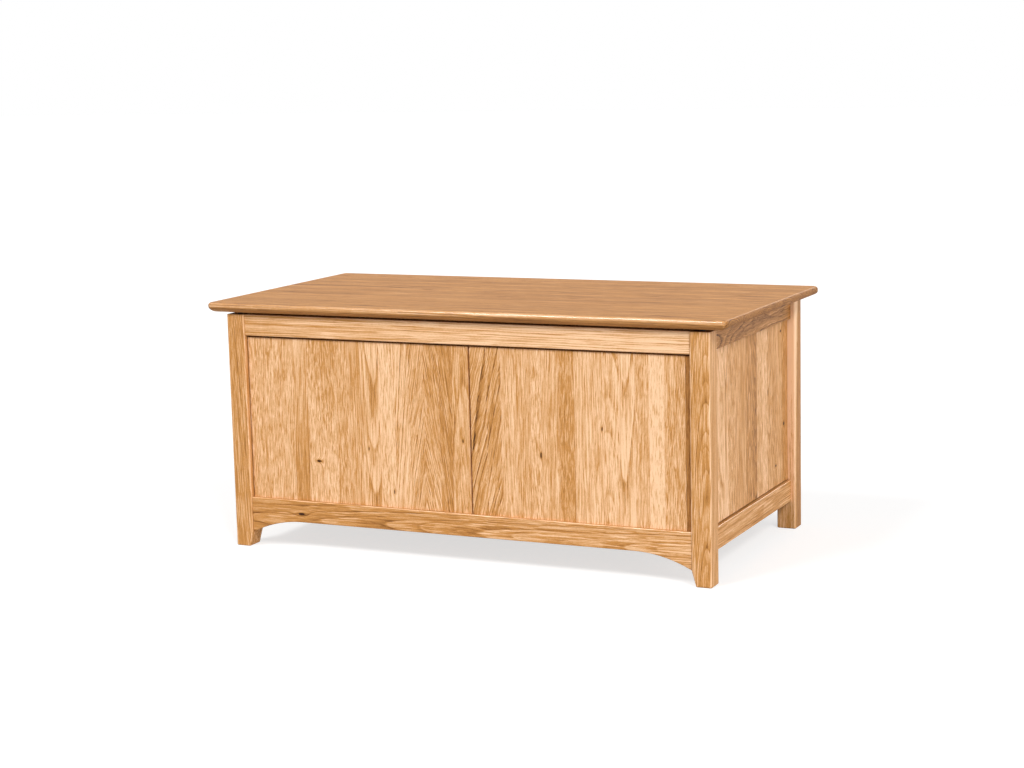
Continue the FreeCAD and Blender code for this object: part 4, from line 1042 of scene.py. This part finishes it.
# Rubber: what its pimples add to its tint and to its roughness, over the least of each.
RUBBER_TINT = (0.6, 0.7)
RUBBER_ROUGHNESS = (0.2, 0.6)

# The strength and the depth of the bumps on each.
METAL_BUMP = (0.15, 0.05 * MM)
RUBBER_BUMP = (0.2, 0.1 * MM)


def metal_material(name, colour, roughness, streak):
    """Rolled metal, with fine streaks along X and faint stains."""
    material, g = blank(bpy.data.materials, name)
    place = g.scaled(g.add("ShaderNodeTexCoord").outputs["Object"], TO_MM)
    brushed = g.noise(place, *BRUSHING)
    stain = g.times(g.less(g.noise(place, *STAINS), 0.5), STAIN_SIZE)
    level = g.total(1.0, g.times(g.less(brushed, 0.5), streak), stain)
    g.principled({
        "Base Color": g.scaled(tuple(colour)[:3], level), "Metallic": 1.0,
        "Roughness": g.total(roughness, stain), "Normal": g.bumped(brushed, *METAL_BUMP),
    })
    return material


def rubber_material(colour):
    material, g = blank(bpy.data.materials, "Rubber")
    place = g.scaled(g.add("ShaderNodeTexCoord").outputs["Object"], TO_MM)
    pimples = g.noise(place, *PIMPLES)
    g.principled({
        "Base Color": g.scaled(tuple(colour)[:3], g.math("MULTIPLY_ADD", pimples, *RUBBER_TINT)),
        "Roughness": g.math("MULTIPLY_ADD", pimples, *RUBBER_ROUGHNESS),
        "Normal": g.bumped(pimples, *RUBBER_BUMP),
    })
    return material


class CHEST_OT_hardware(bpy.types.Operator):
    """Finish the hinges, the stays and the bumpers"""

    bl_idname = "chest.hardware"
    bl_label = "Hardware"

    def execute(self, context):
        finish = context.scene.chest_hardware
        brass = metal_material("Brass", finish.brass, *BRASS)
        steel = metal_material("Plated Steel", finish.steel, *STEEL)
        rubber = rubber_material(finish.rubber)
        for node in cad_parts:
            if "hinge" in node:
                set_material(node, brass)
            elif "stay" in node or node.endswith("_screws"):
                set_material(node, steel)
            elif "bumper" in node:
                set_material(node, rubber)
        return {"FINISHED"}


# ---- stage ----

# Each lamp: its name, the setting that holds its level, the way to it, and how wide it is in degrees.
LAMPS = (
    ("key_lamp", "key", (1.0, -1.05, 1.15), 12),
    ("front_lamp", "front", (-0.41, -0.72, 0.88), 18),
    ("side_lamp", "side", (1.0, -0.35, 0.12), 40),
    ("back_lamp", "back", (0.3, 1.0, 0.12), 40),
)

# Half the floor's width in metres, and the width of the camera's sensor in mm.
FLOOR_REACH = 25.0
SENSOR_WIDTH = 36.0


def seen_ray(g):
    """1 for the rays that the eye follows: straight, in a reflection or through glass."""
    path = g.add("ShaderNodeLightPath").outputs
    return g.fold("MAXIMUM", [path[f"Is {kind} Ray"] for kind in ("Camera", "Glossy", "Transmission")])


def add_floor(sizes):
    """A wide floor that glows a little, but only to the eye, so it throws no light of its own."""
    corners = [(x * FLOOR_REACH, y * FLOOR_REACH, 0.0) for x, y in ((-1, -1), (1, -1), (1, 1), (-1, 1))]
    mesh = bpy.data.meshes.new("floor")
    mesh.from_pydata(corners, [], [(0, 1, 2, 3)])
    material, g = blank(bpy.data.materials, "Pale Floor")
    matt = g.made("ShaderNodeBsdfDiffuse", {"Color": sizes.floor})
    glow = g.made("ShaderNodeEmission", {"Strength": sizes.floor_lift})
    lit = g.made("ShaderNodeAddShader", {0: matt, 1: glow})
    mixed = g.made("ShaderNodeMixShader", {0: seen_ray(g), 1: matt, 2: lit})
    g.add("ShaderNodeOutputMaterial", {"Surface": mixed})
    mesh.materials.append(material)
    floor = placed("floor", mesh)


def add_world(scene, sizes):
    """Even light at the level of the setting, which shows as white to the eye."""
    world, g = blank(bpy.data.worlds, "Studio")
    level = g.ease(seen_ray(g), 0.0, 1.0, sizes.world, 1.0)
    light = g.made("ShaderNodeBackground", {"Color": (1.0, 1.0, 1.0, 1.0), "Strength": level})
    g.add("ShaderNodeOutputWorld", {"Surface": light})
    scene.world = world


def add_camera(scene, sizes):
    camera = bpy.data.cameras.new("camera")
    camera.lens = sizes.lens
    camera.sensor_width = SENSOR_WIDTH
    holder = placed("camera", camera)
    holder.location = sizes.camera_place
    yaw = Matrix.Rotation(sizes.camera_yaw, 4, "Z")
    pitch = Matrix.Rotation(math.pi / 2 - sizes.camera_pitch, 4, "X")
    roll = Matrix.Rotation(sizes.camera_roll, 4, "Z")
    holder.rotation_euler = (yaw @ pitch @ roll).to_euler()
    scene.camera = holder


class CHEST_OT_stage(bpy.types.Operator):
    """Set up the floor, the even light, the lamps and the camera"""

    bl_idname = "chest.stage"
    bl_label = "Stage"

    def execute(self, context):
        scene = context.scene
        sizes = scene.chest_stage
        add_floor(sizes)
        add_world(scene, sizes)
        for name, setting, way, spread in LAMPS:
            lamp = bpy.data.lights.new(name, "SUN")
            lamp.energy = getattr(sizes, setting)
            lamp.angle = math.radians(spread)
            placed(name, lamp).rotation_euler = Vector(way).to_track_quat("Z", "Y").to_euler()
        add_camera(scene, sizes)
        scene.view_settings.view_transform = "Standard"
        return {"FINISHED"}


# ---- the add-on ----


class CHEST_PT_panel(bpy.types.Panel):
    """Lists what the chest is made of"""

    bl_label = "Blanket Chest"
    bl_idname = "CHEST_PT_panel"
    bl_space_type = "VIEW_3D"
    bl_region_type = "UI"
    bl_category = "Chest"

    def draw(self, context):
        for operator in OPERATORS:
            self.layout.operator(operator.bl_idname)
        for name, group in SETTINGS.items():
            box = self.layout.box()
            for field in group.__annotations__:
                box.prop(getattr(context.scene, name), field)


OPERATORS = (CHEST_OT_stage, CHEST_OT_frame, CHEST_OT_panels, CHEST_OT_lid, CHEST_OT_hardware)
SETTINGS = {
    "chest_oak": OakFinish,
    "chest_panels": PanelSizes,
    "chest_lid": LidSizes,
    "chest_hardware": HardwareFinish,
    "chest_stage": StageSizes,
}


def register():
    for kind in (*SETTINGS.values(), *OPERATORS, CHEST_PT_panel):
        bpy.utils.register_class(kind)
    for name, kind in SETTINGS.items():
        setattr(bpy.types.Scene, name, PointerProperty(type=kind))


def unregister():
    for name in SETTINGS:
        delattr(bpy.types.Scene, name)
    for kind in (CHEST_PT_panel, *reversed(OPERATORS), *SETTINGS.values()):
        bpy.utils.unregister_class(kind)


def main():
    register()
    oak_group(bpy.context.scene.chest_oak)
    bpy.ops.chest.stage()
    bpy.ops.chest.frame()
    bpy.ops.chest.panels()
    bpy.ops.chest.lid()
    bpy.ops.chest.hardware()


if __name__ == "__main__":
    main()
